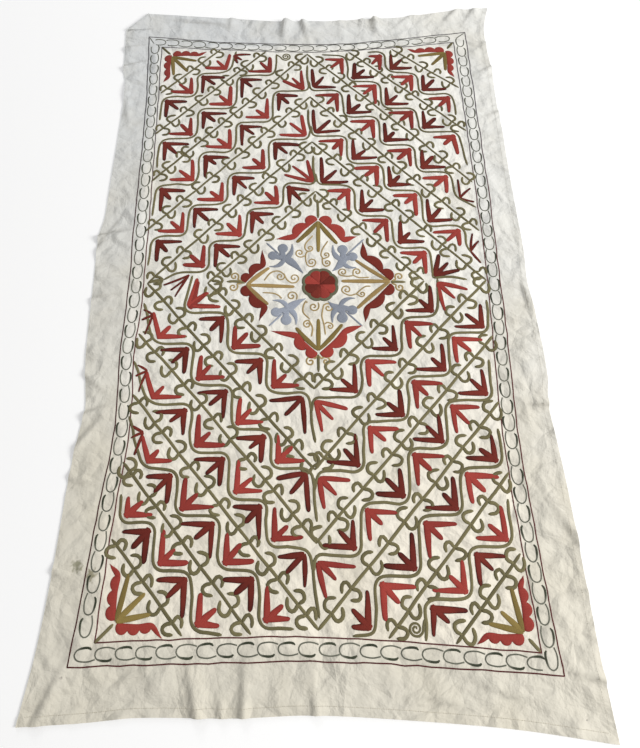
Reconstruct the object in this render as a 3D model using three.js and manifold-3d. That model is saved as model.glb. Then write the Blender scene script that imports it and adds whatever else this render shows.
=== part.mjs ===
// A suzani: an embroidered cotton cloth, laid out flat, with its top-left corner turned over.
// Millimetres, +Z up. +X is the cloth's right and +Y its far end. The origin is on the surface
// under the middle of the cloth's outline.
import * as THREE from 'three';
import { mergeVertices } from 'three/addons/utils/BufferGeometryUtils.js';
import Module from 'manifold-3d';

const wasm = await Module();
wasm.setup();

// Driving dimensions of the cloth.
const CLOTH_WIDTH = 1290;
const CLOTH_LENGTH = 2176;
const CLOTH_THICKNESS = 1.6;

// The hem along the bottom edge and the turned edge on the right are two layers of cloth.
const HEM_DEPTH = 20;
const HEM_SLOPE = 3;
const HEM_EXTRA = 0.8;

// The corners of the outline. The top-left one is where the corner would lie unfolded.
const CORNERS = {
  bottomLeft: [-645, -1079],
  bottomRight: [645, -1088],
  topLeft: [-634, 1088],
  topRight: [643, 1088],
};

// Each edge between its corners, as the hand-cut cloth runs: how far it lies from the middle,
// at places along it.
const LEFT_EDGE = [
  { at: -1079, out: -645 }, { at: -931, out: -625 }, { at: -766, out: -614 },
  { at: -546, out: -607 }, { at: -436, out: -598 }, { at: -370, out: -590 },
  { at: -304, out: -598 }, { at: -216, out: -609 }, { at: 4, out: -617 },
  { at: 158, out: -622 }, { at: 224, out: -612 }, { at: 334, out: -610 },
  { at: 554, out: -607 }, { at: 752, out: -607 }, { at: 807, out: -620 },
  { at: 884, out: -625 }, { at: 983, out: -631 }, { at: 1088, out: -634 },
];
const RIGHT_EDGE = [
  { at: -1088, out: 645 }, { at: -931, out: 637 }, { at: -766, out: 634 },
  { at: -546, out: 629 }, { at: -436, out: 623 }, { at: -348, out: 618 },
  { at: -271, out: 629 }, { at: -106, out: 626 }, { at: 4, out: 618 },
  { at: 114, out: 623 }, { at: 334, out: 620 }, { at: 554, out: 621 },
  { at: 664, out: 618 }, { at: 807, out: 620 }, { at: 884, out: 616 },
  { at: 994, out: 619 }, { at: 1088, out: 643 },
];
const BOTTOM_EDGE = [
  { at: -645, out: -1079 }, { at: -493, out: -1068 }, { at: -383, out: -1057 },
  { at: -163, out: -1054 }, { at: 2, out: -1046 }, { at: 222, out: -1052 },
  { at: 442, out: -1065 }, { at: 645, out: -1088 },
];
const TOP_EDGE = [
  { at: -634, out: 1088 }, { at: -559, out: 1086 }, { at: -257, out: 1055 },
  { at: -110, out: 1040 }, { at: 2, out: 1038 }, { at: 112, out: 1037 },
  { at: 200, out: 1042 }, { at: 332, out: 1049 }, { at: 519, out: 1079 },
  { at: 643, out: 1088 },
];

// The main creases, each a soft ridge of cloth. Its line runs from one place to another, `rise`
// is its height and `reach` its width to each side. An `edge` ridge is full height where it
// starts and dies out inwards, and a `both` ridge dies out at both its ends.
const CREASES = [
  // Along the top, where the pleats stand highest.
  { from: [-70, 1062], to: [-80, 925], rise: 14, reach: 26, dies: 'edge' },
  { from: [-16, 1062], to: [14, 930], rise: 10, reach: 20, dies: 'edge' },
  { from: [238, 1068], to: [247, 955], rise: 12, reach: 24, dies: 'edge' },
  { from: [198, 1060], to: [190, 950], rise: 5, reach: 18, dies: 'edge' },
  { from: [117, 1060], to: [124, 965], rise: 3, reach: 20, dies: 'edge' },
  { from: [-262, 1075], to: [-262, 945], rise: 4, reach: 22, dies: 'edge' },
  { from: [-500, 1062], to: [-250, 1026], rise: 4, reach: 20, dies: 'both' },
  { from: [372, 1056], to: [300, 985], rise: 4, reach: 18, dies: 'edge' },
  { from: [542, 1092], to: [468, 1004], rise: 6, reach: 20, dies: 'edge' },
  { from: [600, 1092], to: [540, 990], rise: 5, reach: 20, dies: 'edge' },
  // Along the bottom.
  { from: [5, -1056], to: [1, -930], rise: 5, reach: 18, dies: 'edge' },
  { from: [-250, -1062], to: [-281, -935], rise: 8, reach: 24, dies: 'edge' },
  { from: [-198, -1062], to: [-215, -965], rise: 4, reach: 20, dies: 'edge' },
  { from: [-152, -1062], to: [-152, -930], rise: 6, reach: 20, dies: 'edge' },
  { from: [-600, -1060], to: [-546, -940], rise: 5, reach: 22, dies: 'edge' },
  { from: [-455, -1020], to: [-390, -962], rise: 3, reach: 20, dies: 'both' },
  { from: [470, -1014], to: [310, -956], rise: 3, reach: 20, dies: 'both' },
  { from: [360, -1030], to: [215, -998], rise: 3, reach: 18, dies: 'both' },
  // Along the left side.
  { from: [-640, 915], to: [-535, 932], rise: 5, reach: 20, dies: 'edge' },
  { from: [-632, 825], to: [-520, 862], rise: 7, reach: 22, dies: 'edge' },
  { from: [-606, 775], to: [-604, 665], rise: 5, reach: 18, dies: 'both' },
  { from: [-598, 712], to: [-580, 570], rise: 4, reach: 20, dies: 'both' },
  { from: [-630, 154], to: [-510, 178], rise: 9, reach: 22, dies: 'edge' },
  { from: [-590, 165], to: [-530, 270], rise: 4, reach: 18, dies: 'edge' },
  { from: [-625, -52], to: [-515, -32], rise: 4, reach: 20, dies: 'edge' },
  { from: [-615, -268], to: [-505, -342], rise: 5, reach: 20, dies: 'edge' },
  { from: [-604, -390], to: [-515, -358], rise: 7, reach: 20, dies: 'edge' },
  { from: [-604, -476], to: [-528, -366], rise: 5, reach: 18, dies: 'edge' },
  { from: [-615, -546], to: [-515, -564], rise: 4, reach: 20, dies: 'edge' },
  { from: [-622, -764], to: [-545, -785], rise: 4, reach: 20, dies: 'edge' },
  // Along the right side.
  { from: [632, 922], to: [545, 916], rise: 4, reach: 18, dies: 'edge' },
  { from: [632, 816], to: [545, 762], rise: 5, reach: 20, dies: 'edge' },
  { from: [632, 622], to: [545, 582], rise: 4, reach: 20, dies: 'edge' },
  { from: [622, -105], to: [598, 15], rise: 4, reach: 18, dies: 'both' },
  { from: [632, -350], to: [548, -345], rise: 7, reach: 20, dies: 'edge' },
  { from: [628, -676], to: [548, -516], rise: 4, reach: 20, dies: 'edge' },
  { from: [646, -792], to: [550, -806], rise: 4, reach: 18, dies: 'edge' },
  { from: [648, -972], to: [540, -944], rise: 5, reach: 20, dies: 'edge' },
];

// The corner turned over on top: the fold runs from the top edge to the left edge.
const FOLD_TOP = [-559, 1082];
const FOLD_SIDE = [-620, 1012];
const FOLD_INNER_RADIUS = 1.6;
const FOLD_OVERLAP = 8;
const FLAP_LANDS_AT = 40;
const FLAP_CLEARANCE = 0.5;

// How finely the sheet is divided: along the edges, and inwards from them.
const EDGE_STEP = 25;
const INSETS = [0, 9, HEM_DEPTH - HEM_SLOPE, HEM_DEPTH, 40, 65, 95, 145];

// The value of a smooth curve through an edge's rows, with the slope at a row set by the rows
// beside it.
function alongEdge(rows, at) {
  const last = rows.length - 2;
  let i = rows.findIndex((row, k) => k <= last && at <= rows[k + 1].at);
  if (i < 0) i = last;
  const slope = (k) => {
    const before = rows[Math.max(k - 1, 0)];
    const after = rows[Math.min(k + 1, rows.length - 1)];
    return (after.out - before.out) / (after.at - before.at);
  };
  const span = rows[i + 1].at - rows[i].at;
  const u = THREE.MathUtils.clamp((at - rows[i].at) / span, 0, 1);
  const start = (1 + 2 * u) * (1 - u) ** 2 * rows[i].out;
  const end = u * u * (3 - 2 * u) * rows[i + 1].out;
  const startSlope = u * (1 - u) ** 2 * span * slope(i);
  const endSlope = u * u * (u - 1) * span * slope(i + 1);
  return start + end + startSlope + endSlope;
}

// A place on the laid cloth from its fractions s across and t along: the four edges blended.
function placeOnCloth(s, t) {
  const { bottomLeft, bottomRight, topLeft, topRight } = CORNERS;
  const mix = THREE.MathUtils.lerp;
  const bottomX = mix(bottomLeft[0], bottomRight[0], s);
  const topX = mix(topLeft[0], topRight[0], s);
  const leftY = mix(bottomLeft[1], topLeft[1], t);
  const rightY = mix(bottomRight[1], topRight[1], t);
  const bottom = [bottomX, alongEdge(BOTTOM_EDGE, bottomX)];
  const top = [topX, alongEdge(TOP_EDGE, topX)];
  const left = [alongEdge(LEFT_EDGE, leftY), leftY];
  const right = [alongEdge(RIGHT_EDGE, rightY), rightY];
  return [0, 1].map((k) => {
    const between = mix(bottom[k], top[k], t) + mix(left[k], right[k], s);
    const corners = mix(mix(bottomLeft[k], bottomRight[k], s), mix(topLeft[k], topRight[k], s), t);
    return between - corners;
  });
}

// How far one crease lifts the cloth at a place.
function creaseLift({ from, to, rise, reach, dies }, x, y) {
  const dx = to[0] - from[0];
  const dy = to[1] - from[1];
  const length = Math.hypot(dx, dy);
  const along = ((x - from[0]) * dx + (y - from[1]) * dy) / length ** 2;
  const aside = Math.abs((x - from[0]) * dy - (y - from[1]) * dx) / length / reach;
  if (aside >= 1 || along >= 1) return 0;
  if (along < 0 && dies === 'both') return 0;
  const fade = dies === 'both' ? Math.sin(Math.PI * along) : Math.cos((Math.PI / 2) * Math.max(along, 0));
  return rise * fade * (1 - aside * aside) ** 2;
}

// Where creases meet the highest one stands, so that they don't pile up.
function clothLift(x, y) {
  return Math.max(...CREASES.map((crease) => creaseLift(crease, x, y)));
}

// The extra layer of the hems, by the distances to the bottom and the right edge.
function hemThickness(toBottom, toRight) {
  const nearest = Math.min(toBottom, toRight);
  const share = THREE.MathUtils.clamp((HEM_DEPTH - nearest) / HEM_SLOPE, 0, 1);
  return HEM_EXTRA * share;
}

// Fractions around the cloth's rim, anticlockwise from the bottom-left corner.
function rimFractions() {
  const across = Math.round(CLOTH_WIDTH / EDGE_STEP);
  const along = Math.round(CLOTH_LENGTH / EDGE_STEP);
  const rim = [];
  for (let i = 0; i < across; i += 1) rim.push([i / across, 0]);
  for (let i = 0; i < along; i += 1) rim.push([1, i / along]);
  for (let i = across; i > 0; i -= 1) rim.push([i / across, 1]);
  for (let i = along; i > 0; i -= 1) rim.push([0, i / along]);
  return rim;
}

// The cloth before its corner is turned over: rings of faces inwards from the rim, where the
// creases are, and one flat field inside them. The underside is the same shape, a thickness down.
function sheetGeometry() {
  const rim = rimFractions();
  const count = rim.length;
  const top = [];
  const bottom = [];
  for (const inset of INSETS) {
    for (const [rimS, rimT] of rim) {
      const s = 0.5 + (rimS - 0.5) * (1 - (2 * inset) / CLOTH_WIDTH);
      const t = 0.5 + (rimT - 0.5) * (1 - (2 * inset) / CLOTH_LENGTH);
      const [x, y] = placeOnCloth(s, t);
      const lift = clothLift(x, y);
      const hem = hemThickness(t * CLOTH_LENGTH, (1 - s) * CLOTH_WIDTH);
      top.push(x, y, lift + CLOTH_THICKNESS + hem);
      bottom.push(x, y, lift);
    }
  }
  const under = top.length / 3;
  const index = [];
  for (let ring = 0; ring + 1 < INSETS.length; ring += 1) {
    for (let i = 0; i < count; i += 1) {
      const next = (i + 1) % count;
      const [a, b] = [ring * count + i, ring * count + next];
      const [c, d] = [(ring + 1) * count + next, (ring + 1) * count + i];
      index.push(a, b, c, a, c, d);
      index.push(under + a, under + c, under + b, under + a, under + d, under + c);
    }
  }
  for (let i = 0; i < count; i += 1) {
    const next = (i + 1) % count;
    index.push(under + i, under + next, next, under + i, next, i);
  }
  const inner = (INSETS.length - 1) * count;
  const field = Array.from({ length: count }, (_, i) => {
    const k = 3 * (inner + i);
    return new THREE.Vector2(top[k], top[k + 1]);
  });
  for (const [a, b, c] of THREE.ShapeUtils.triangulateShape(field, [])) {
    index.push(inner + a, inner + b, inner + c);
    index.push(under + inner + a, under + inner + c, under + inner + b);
  }
  const geometry = new THREE.BufferGeometry();
  geometry.setAttribute('position', new THREE.Float32BufferAttribute([...top, ...bottom], 3));
  geometry.setIndex(index);
  return geometry;
}

// A closed mesh as a solid for joining and cutting.
function toSolid(geometry) {
  const bare = geometry.clone();
  bare.deleteAttribute('normal');
  bare.deleteAttribute('uv');
  const merged = mergeVertices(bare);
  const vertProperties = new Float32Array(merged.attributes.position.array);
  const triVerts = new Uint32Array(merged.index.array);
  return new wasm.Manifold(new wasm.Mesh({ numProp: 3, vertProperties, triVerts }));
}

// A joined or cut solid back as a mesh's geometry.
function toGeometry(solid) {
  const { vertProperties, triVerts, numProp } = solid.getMesh();
  const positions = [];
  for (let i = 0; i < vertProperties.length; i += numProp) {
    positions.push(vertProperties[i], vertProperties[i + 1], vertProperties[i + 2]);
  }
  const geometry = new THREE.BufferGeometry();
  geometry.setAttribute('position', new THREE.Float32BufferAttribute(positions, 3));
  geometry.setIndex(Array.from(triVerts));
  geometry.computeVertexNormals();
  return geometry;
}

// The corner's fold line: its direction, and the direction from it into the cloth.
const foldStart = new THREE.Vector2(...FOLD_TOP);
const foldEnd = new THREE.Vector2(...FOLD_SIDE);
const alongFold = foldEnd.clone().sub(foldStart).normalize();
const intoCloth = new THREE.Vector2(-alongFold.y, alongFold.x);

// A place by its distance along the fold line from the top edge, and its distance inwards.
function byFold(along, inwards) {
  return foldStart.clone().addScaledVector(alongFold, along).addScaledVector(intoCloth, inwards);
}

// An upright prism over an outline, taller than the cloth's creases.
function prism(outline) {
  const height = 60;
  const geometry = new THREE.ExtrudeGeometry(new THREE.Shape(outline), { depth: height, bevelEnabled: false });
  geometry.translate(0, 0, -height / 2);
  return toSolid(geometry);
}

// The section of the turned-over corner, across the fold: a leg in the cloth, a round bend, and
// the flap that comes down to lie on the cloth.
function hairpinShape() {
  const thick = CLOTH_THICKNESS;
  const inner = FOLD_INNER_RADIUS;
  const centre = thick + inner;
  const flapEnd = 90;
  const landed = thick + FLAP_CLEARANCE;
  const shape = new THREE.Shape();
  shape.moveTo(FOLD_OVERLAP, 0);
  shape.lineTo(FOLD_OVERLAP, thick);
  shape.lineTo(0, thick);
  shape.absarc(0, centre, inner, -Math.PI / 2, Math.PI / 2, true);
  shape.bezierCurveTo(FLAP_LANDS_AT / 2, thick + 2 * inner, FLAP_LANDS_AT / 2, landed, FLAP_LANDS_AT, landed);
  shape.lineTo(flapEnd, landed);
  shape.lineTo(flapEnd, landed + thick);
  shape.lineTo(FLAP_LANDS_AT, landed + thick);
  const flapTop = 2 * thick + 2 * inner;
  shape.bezierCurveTo(FLAP_LANDS_AT / 2, landed + thick, FLAP_LANDS_AT / 2, flapTop, 0, flapTop);
  shape.absarc(0, centre, inner + thick, Math.PI / 2, (3 * Math.PI) / 2, false);
  shape.closePath();
  return shape;
}

// The turned-over corner: the hairpin drawn along the fold, kept where the corner covers it.
function turnedCorner() {
  const foldLength = foldStart.distanceTo(foldEnd);
  const overhang = 12;
  const hairpin = new THREE.ExtrudeGeometry(hairpinShape(), {
    depth: foldLength + 2 * overhang, bevelEnabled: false, curveSegments: 8,
  });
  const across = new THREE.Vector3(intoCloth.x, intoCloth.y, 0);
  const up = new THREE.Vector3(0, 0, 1);
  const basis = new THREE.Matrix4().makeBasis(across, up, new THREE.Vector3().crossVectors(across, up));
  const start = byFold(-overhang, 0);
  basis.setPosition(start.x, start.y, 0);
  hairpin.applyMatrix4(basis);
  const corner = new THREE.Vector2(...CORNERS.topLeft).sub(foldStart);
  const tip = byFold(corner.dot(alongFold), -corner.dot(intoCloth));
  const bend = FOLD_INNER_RADIUS + CLOTH_THICKNESS;
  const covered = prism([byFold(0, 0), byFold(0, -bend - 1), byFold(foldLength, -bend - 1), byFold(foldLength, 0), tip]);
  return toSolid(hairpin).intersect(covered);
}

// What is left of the sheet once its corner is turned over: all on this side of the fold.
function withoutCorner(sheet) {
  const foldLength = foldStart.distanceTo(foldEnd);
  const beyond = prism([byFold(-60, 0), byFold(-60, -120), byFold(foldLength + 60, -120), byFold(foldLength + 60, 0)]);
  return sheet.subtract(beyond);
}

const cloth = withoutCorner(toSolid(sheetGeometry())).add(turnedCorner());
const cotton = new THREE.MeshStandardMaterial({ color: 0xdcd8c8, roughness: 0.95, metalness: 0 });
const groundCloth = new THREE.Mesh(toGeometry(cloth), cotton);
groundCloth.name = 'ground_cloth';

const suzani = new THREE.Group();
suzani.add(groundCloth);

export default suzani;
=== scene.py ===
"""A suzani laid out flat: embroidered cotton with a stepped lattice of leaves about a medallion."""

import logging
import math
from dataclasses import dataclass, field
from enum import Enum
from random import Random

import bpy
import numpy as np
from mathutils import Euler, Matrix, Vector, geometry


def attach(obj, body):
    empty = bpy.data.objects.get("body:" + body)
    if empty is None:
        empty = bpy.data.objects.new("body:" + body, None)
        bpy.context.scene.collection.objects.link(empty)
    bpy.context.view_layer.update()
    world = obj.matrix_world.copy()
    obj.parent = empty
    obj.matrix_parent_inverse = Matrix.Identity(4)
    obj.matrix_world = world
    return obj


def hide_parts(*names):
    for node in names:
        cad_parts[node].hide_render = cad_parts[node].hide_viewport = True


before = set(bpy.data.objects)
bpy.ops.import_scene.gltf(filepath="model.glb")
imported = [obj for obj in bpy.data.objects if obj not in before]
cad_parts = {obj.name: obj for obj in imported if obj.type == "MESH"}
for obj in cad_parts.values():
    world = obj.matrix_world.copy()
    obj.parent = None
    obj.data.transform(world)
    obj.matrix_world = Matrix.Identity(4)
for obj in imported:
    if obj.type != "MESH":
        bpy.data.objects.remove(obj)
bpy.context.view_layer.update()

MM = 0.001
CHART_UNIT = 1.1 * MM
CHART_CENTRE = (1.5, 4.0)
# How much higher one layer of stitching stands than the one under it.
LAYER = 0.05 * MM
TINY = 1e-9

Array = np.ndarray
Object = bpy.types.Object
Socket = bpy.types.NodeSocket
Point = tuple[float, float]
Colour = tuple[float, float, float, float]
log = logging.getLogger("suzani")


class Quarter(Enum):
    """The four quarters of the lattice, by the signs of their x and y."""

    TOP_LEFT = (-1, 1)
    TOP_RIGHT = (1, 1)
    BOTTOM_LEFT = (-1, -1)
    BOTTOM_RIGHT = (1, -1)

    @property
    def is_top(self) -> bool:
        """Whether the quarter lies above the middle."""
        return self.value[1] > 0

    @property
    def rises_right(self) -> bool:
        """Whether its slanting stems rise to the right."""
        return self.value[0] * self.value[1] < 0

    @property
    def inner_is_light(self) -> bool:
        """Whether the sprigs on the side of the medallion are the light red ones."""
        return not self.rises_right


class Node(Enum):
    """The two kinds of hooked pair on a stem: at the upper and at the lower end of a clover."""

    UPPER = "upper"
    LOWER = "lower"


def metres(points: Array) -> Array:
    """Turns places on the chart, one in each row, into metres on the cloth."""
    return (np.asarray(points, float) + np.array(CHART_CENTRE)) * CHART_UNIT


def reached(path: Array) -> Array:
    """How far along a path each of its places lies."""
    return np.concatenate([[0], np.cumsum(np.hypot(*np.diff(path, axis=0).T))])


def read_at(wanted: Array | float, lengths: Array, path: Array) -> Array:
    """The places at some lengths along a path, from the lengths at which its own places lie."""
    return np.stack([np.interp(wanted, lengths, path[:, k]) for k in (0, 1)], axis=-1)


def cubic(u: Array, start: Array, end: Array, leaves: Array, comes: Array) -> Array:
    """The smooth curve between two values at shares u of the way, by its slope at each end."""
    first = (1 + 2 * u) * (1 - u) ** 2 * start + u * (1 - u) ** 2 * leaves
    return first + u * u * (3 - 2 * u) * end + u * u * (u - 1) * comes


def headings(angles: Array | float) -> Array:
    """The directions of length 1 at some angles, in radians."""
    return np.stack([np.cos(angles), np.sin(angles)], axis=-1)


def quarter_turn(way: Array) -> Array:
    """One direction turned a quarter to the left."""
    return np.array([-way[1], way[0]])


def smooth_path(points: list | tuple, step: float, closed: bool = False) -> Array:
    """Draws a round curve through a few points, with places an even step apart.

    Args:
        points: The points that the curve goes through.
        step: How far apart the places are.
        closed: Whether the curve returns to its first point.

    Returns:
        The places on the curve, one in each row.
    """
    knots = np.array(points, float)
    before, after = np.roll(knots, 1, axis=0), np.roll(knots, -1, axis=0)
    slopes = (after - before) / 2
    if not closed:
        slopes[0] = knots[1] - knots[0]
        slopes[-1] = knots[-1] - knots[-2]
    spans = len(knots) if closed else len(knots) - 1
    pieces = []
    for i in range(spans):
        j = (i + 1) % len(knots)
        u = np.linspace(0, 1, 12, endpoint=False)[:, None]
        pieces.append(cubic(u, knots[i], knots[j], slopes[i], slopes[j]))
    pieces.append(knots[:1] if closed else knots[-1:])
    return even_steps(np.vstack(pieces), step)


def even_steps(path: Array, step: float) -> Array:
    """Places along a path, an even step apart.

    Args:
        path: The path's points, one in each row.
        step: The length wanted between two places.

    Returns:
        The places, the first and the last point among them.
    """
    lengths = reached(path)
    count = max(2, int(round(lengths[-1] / step)))
    return read_at(np.linspace(0, lengths[-1], count + 1), lengths, path)


def rounded_steps(corners: list[Point], radius: float, step: float) -> Array:
    """Draws straight runs with round corners.

    Args:
        corners: The ends of the runs.
        radius: How far from a corner the rounding starts.
        step: How far apart the places are.

    Returns:
        The places along the line, one in each row.
    """
    points = [np.array(corner, float) for corner in corners]
    path = [points[0]]
    for before, corner, after in zip(points, points[1:], points[2:]):
        back, on = before - corner, after - corner
        reach = min(radius, 0.48 * np.hypot(*back), 0.48 * np.hypot(*on))
        start, end = corner + back / np.hypot(*back) * reach, corner + on / np.hypot(*on) * reach
        for u in np.linspace(0, 1, 7):
            path.append((1 - u) ** 2 * start + 2 * u * (1 - u) * corner + u * u * end)
    path.append(points[-1])
    return even_steps(np.array(path), step)


def by_hand(path: Array, rng: Random, sway: float, pace: float = 22.0) -> Array:
    """Lets a line stray a little to its sides, as a line drawn by hand does.

    Args:
        path: The places along the line.
        rng: The source of chance.
        sway: How far the line may stray.
        pace: How far apart the turns of the straying are.

    Returns:
        The places of the line that strays, with its ends where they were.
    """
    lengths = reached(path)
    knots = max(3, int(lengths[-1] / pace) + 1)
    values = [0.0] + [rng.uniform(-sway, sway) for _ in range(knots - 2)] + [0.0]
    stray = np.interp(lengths, np.linspace(0, lengths[-1], knots), values)
    return path + side_of(path) * stray[:, None]


def left_of(along: Array) -> Array:
    """The directions of length 1 to the left of some others."""
    along = along / np.maximum(np.hypot(*along.T), TINY)[:, None]
    return np.column_stack([-along[:, 1], along[:, 0]])


def side_of(path: Array) -> Array:
    """The direction to the left of a path at each of its places."""
    return left_of(np.gradient(path, axis=0))


@dataclass(frozen=True)
class Crease:
    """A ridge of the cloth, in millimetres, steeper on its left. An edge ridge is highest where it starts."""

    start: Point
    end: Point
    rise: float
    reach: float
    from_edge: bool = True
    steep: float = 0.5
    gentle: float = 1.2
    # Painted shade at the ridge's steeper foot, where its shadow falls: the rise that gets the full shade,
    # and where the shaded band lies and how wide it is, in shares of the reach.
    full_shade_rise: float = 8
    shade_from: float = 0.3
    shade_width: float = 0.28

    def spot(self, x: Array, y: Array) -> tuple[Array, Array]:
        """Where places lie on the ridge.

        Args:
            x: Places across, in millimetres.
            y: Places along, in millimetres.

        Returns:
            The ridge's strength there, and how far to its left each place lies, in shares of its reach.
        """
        dx, dy = self.end[0] - self.start[0], self.end[1] - self.start[1]
        length = math.hypot(dx, dy)
        along = ((x - self.start[0]) * dx + (y - self.start[1]) * dy) / length**2
        left = ((x - self.start[0]) * dy - (y - self.start[1]) * dx) / length * math.copysign(1, -dy)
        if self.from_edge:
            fade = np.cos(math.pi / 2 * np.clip(along, 0, 1))
        else:
            fade = np.sin(math.pi * np.clip(along, 0, 1))
        return fade, left / self.reach

    def lift(self, x: Array, y: Array) -> Array:
        """How far the ridge lifts the cloth, in millimetres.

        Args:
            x: Places across, in millimetres.
            y: Places along, in millimetres.

        Returns:
            The lift at each place.
        """
        fade, left = self.spot(x, y)
        aside = np.where(left > 0, left / self.steep, -left / self.gentle)
        return self.rise * fade * np.clip(1 - aside**2, 0, 1) ** 2

    def crease_shade(self, x: Array, y: Array) -> Array:
        """How much painted shade falls in the ridge's steeper foot.

        Args:
            x: Places across, in millimetres.
            y: Places along, in millimetres.

        Returns:
            The painted shade at each place, from 0 to 1.
        """
        fade, left = self.spot(x, y)
        shaded_share = np.exp(-(((left - self.shade_from) / self.shade_width) ** 2))
        return min(1, self.rise / self.full_shade_rise) * fade * shaded_share


@dataclass
class ClothForm:
    """The form of the laid cloth: its outline, its creases and its turned corner, in millimetres."""

    width: float = 1290
    length: float = 2176
    thickness: float = 1.6
    hem_depth: float = 20
    hem_slope: float = 3
    hem_extra: float = 0.8
    bottom_left: Point = (-645, -1079)
    bottom_right: Point = (645, -1088)
    top_left: Point = (-634, 1088)
    top_right: Point = (643, 1088)
    fold_top: Point = (-559, 1082)
    fold_side: Point = (-620, 1012)
    fold_radius: float = 1.6
    flap_lands_at: float = 40
    flap_clearance: float = 0.5
    seed: int = 11
    # The small creases: their number, and the ranges of their places, lengths, reaches and rises.
    fine_creases: int = 240
    fine_area: Point = (630, 1070)
    fine_length: Point = (50, 170)
    fine_reach: Point = (12, 24)
    worked_rise: Point = (0.35, 0.8)
    bare_rise: Point = (0.6, 1.9)
    worked_reach: Point = (520, 930)
    skipped_share: float = 0.55
    most_ripple: float = 1.6
    swell_height: float = 0.5
    # Each edge, by how far it lies from the middle (out) at places along it (at): at, out.
    left_edge: tuple[Point, ...] = (
        (-1079, -645), (-931, -625), (-766, -614), (-546, -607), (-436, -598), (-370, -590),
        (-304, -598), (-216, -609), (4, -617), (158, -622), (224, -612), (334, -610),
        (554, -607), (752, -607), (807, -620), (884, -625), (983, -631), (1088, -634),
    )
    right_edge: tuple[Point, ...] = (
        (-1088, 645), (-931, 637), (-766, 634), (-546, 629), (-436, 623), (-348, 618),
        (-271, 629), (-106, 626), (4, 618), (114, 623), (334, 620), (554, 621),
        (664, 618), (807, 620), (884, 616), (994, 619), (1088, 643),
    )
    bottom_edge: tuple[Point, ...] = (
        (-645, -1079), (-493, -1068), (-383, -1057), (-163, -1054), (2, -1046), (222, -1052),
        (442, -1065), (645, -1088),
    )
    top_edge: tuple[Point, ...] = (
        (-634, 1088), (-559, 1086), (-257, 1055), (-110, 1040), (2, 1038), (112, 1037),
        (200, 1042), (332, 1049), (519, 1079), (643, 1088),
    )
    creases: tuple[Crease, ...] = (
        # Along the top, where the pleats stand highest.
        Crease((-70, 1062), (-80, 925), 14, 26),
        Crease((-16, 1062), (14, 930), 10, 20),
        Crease((238, 1068), (247, 955), 12, 24),
        Crease((198, 1060), (190, 950), 5, 18),
        Crease((117, 1060), (124, 965), 3, 20),
        Crease((-262, 1075), (-262, 945), 4, 22),
        Crease((-500, 1062), (-250, 1026), 4, 20, from_edge=False),
        Crease((372, 1056), (300, 985), 4, 18),
        Crease((542, 1092), (468, 1004), 6, 20),
        Crease((600, 1092), (540, 990), 5, 20),
        # Along the bottom.
        Crease((5, -1056), (1, -930), 5, 18),
        Crease((-250, -1062), (-281, -935), 8, 24),
        Crease((-198, -1062), (-215, -965), 4, 20),
        Crease((-152, -1062), (-152, -930), 6, 20),
        Crease((-600, -1060), (-546, -940), 5, 22),
        Crease((-455, -1020), (-390, -962), 3, 20, from_edge=False),
        Crease((470, -1014), (310, -956), 3, 20, from_edge=False),
        Crease((360, -1030), (215, -998), 3, 18, from_edge=False),
        # Along the left side.
        Crease((-640, 915), (-535, 932), 5, 20),
        Crease((-632, 825), (-520, 862), 7, 22),
        Crease((-606, 775), (-604, 665), 5, 18, from_edge=False),
        Crease((-598, 712), (-580, 570), 4, 20, from_edge=False),
        Crease((-630, 154), (-510, 178), 9, 22),
        Crease((-590, 165), (-530, 270), 4, 18),
        Crease((-625, -52), (-515, -32), 4, 20),
        Crease((-615, -268), (-505, -342), 5, 20),
        Crease((-604, -390), (-515, -358), 7, 20),
        Crease((-604, -476), (-528, -366), 5, 18),
        Crease((-615, -546), (-515, -564), 4, 20),
        Crease((-622, -764), (-545, -785), 4, 20),
        # Along the right side.
        Crease((632, 922), (545, 916), 4, 18),
        Crease((632, 816), (545, 762), 5, 20),
        Crease((632, 622), (545, 582), 4, 20),
        Crease((622, -105), (598, 15), 4, 18, from_edge=False),
        Crease((632, -350), (548, -345), 7, 20),
        Crease((628, -676), (548, -516), 4, 20),
        Crease((646, -792), (550, -806), 4, 18),
        Crease((648, -972), (540, -944), 5, 20),
    )
    small: list[Crease] = field(default_factory=list)

    def __post_init__(self) -> None:
        """Lays the small creases by chance, most of them in the bare margins."""
        rng = Random(self.seed)
        while len(self.small) < self.fine_creases:
            x, y = (rng.uniform(-half, half) for half in self.fine_area)
            turn, length = rng.uniform(0, math.tau), rng.uniform(*self.fine_length)
            end = (x + length * math.cos(turn), y + length * math.sin(turn))
            worked = abs(x) < self.worked_reach[0] and abs(y) < self.worked_reach[1]
            rise = rng.uniform(*(self.worked_rise if worked else self.bare_rise))
            reach = rng.uniform(*self.fine_reach)
            if worked and rng.random() < self.skipped_share:
                continue
            self.small.append(Crease((x, y), end, rise, reach, from_edge=False))

    @staticmethod
    def along_edge(rows: tuple[Point, ...], at: Array) -> Array:
        """The smooth curve through an edge's rows.

        Args:
            rows: The edge's rows of at and out.
            at: Places along the edge.

        Returns:
            How far out the edge lies at each place.
        """
        where, out = np.array(rows, float).T
        slope = np.empty(len(where))
        slope[1:-1] = (out[2:] - out[:-2]) / (where[2:] - where[:-2])
        slope[0] = (out[1] - out[0]) / (where[1] - where[0])
        slope[-1] = (out[-1] - out[-2]) / (where[-1] - where[-2])
        i = np.clip(np.searchsorted(where, at, side="left") - 1, 0, len(where) - 2)
        span = where[i + 1] - where[i]
        u = np.clip((at - where[i]) / span, 0, 1)
        return cubic(u, out[i], out[i + 1], span * slope[i], span * slope[i + 1])

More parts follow.
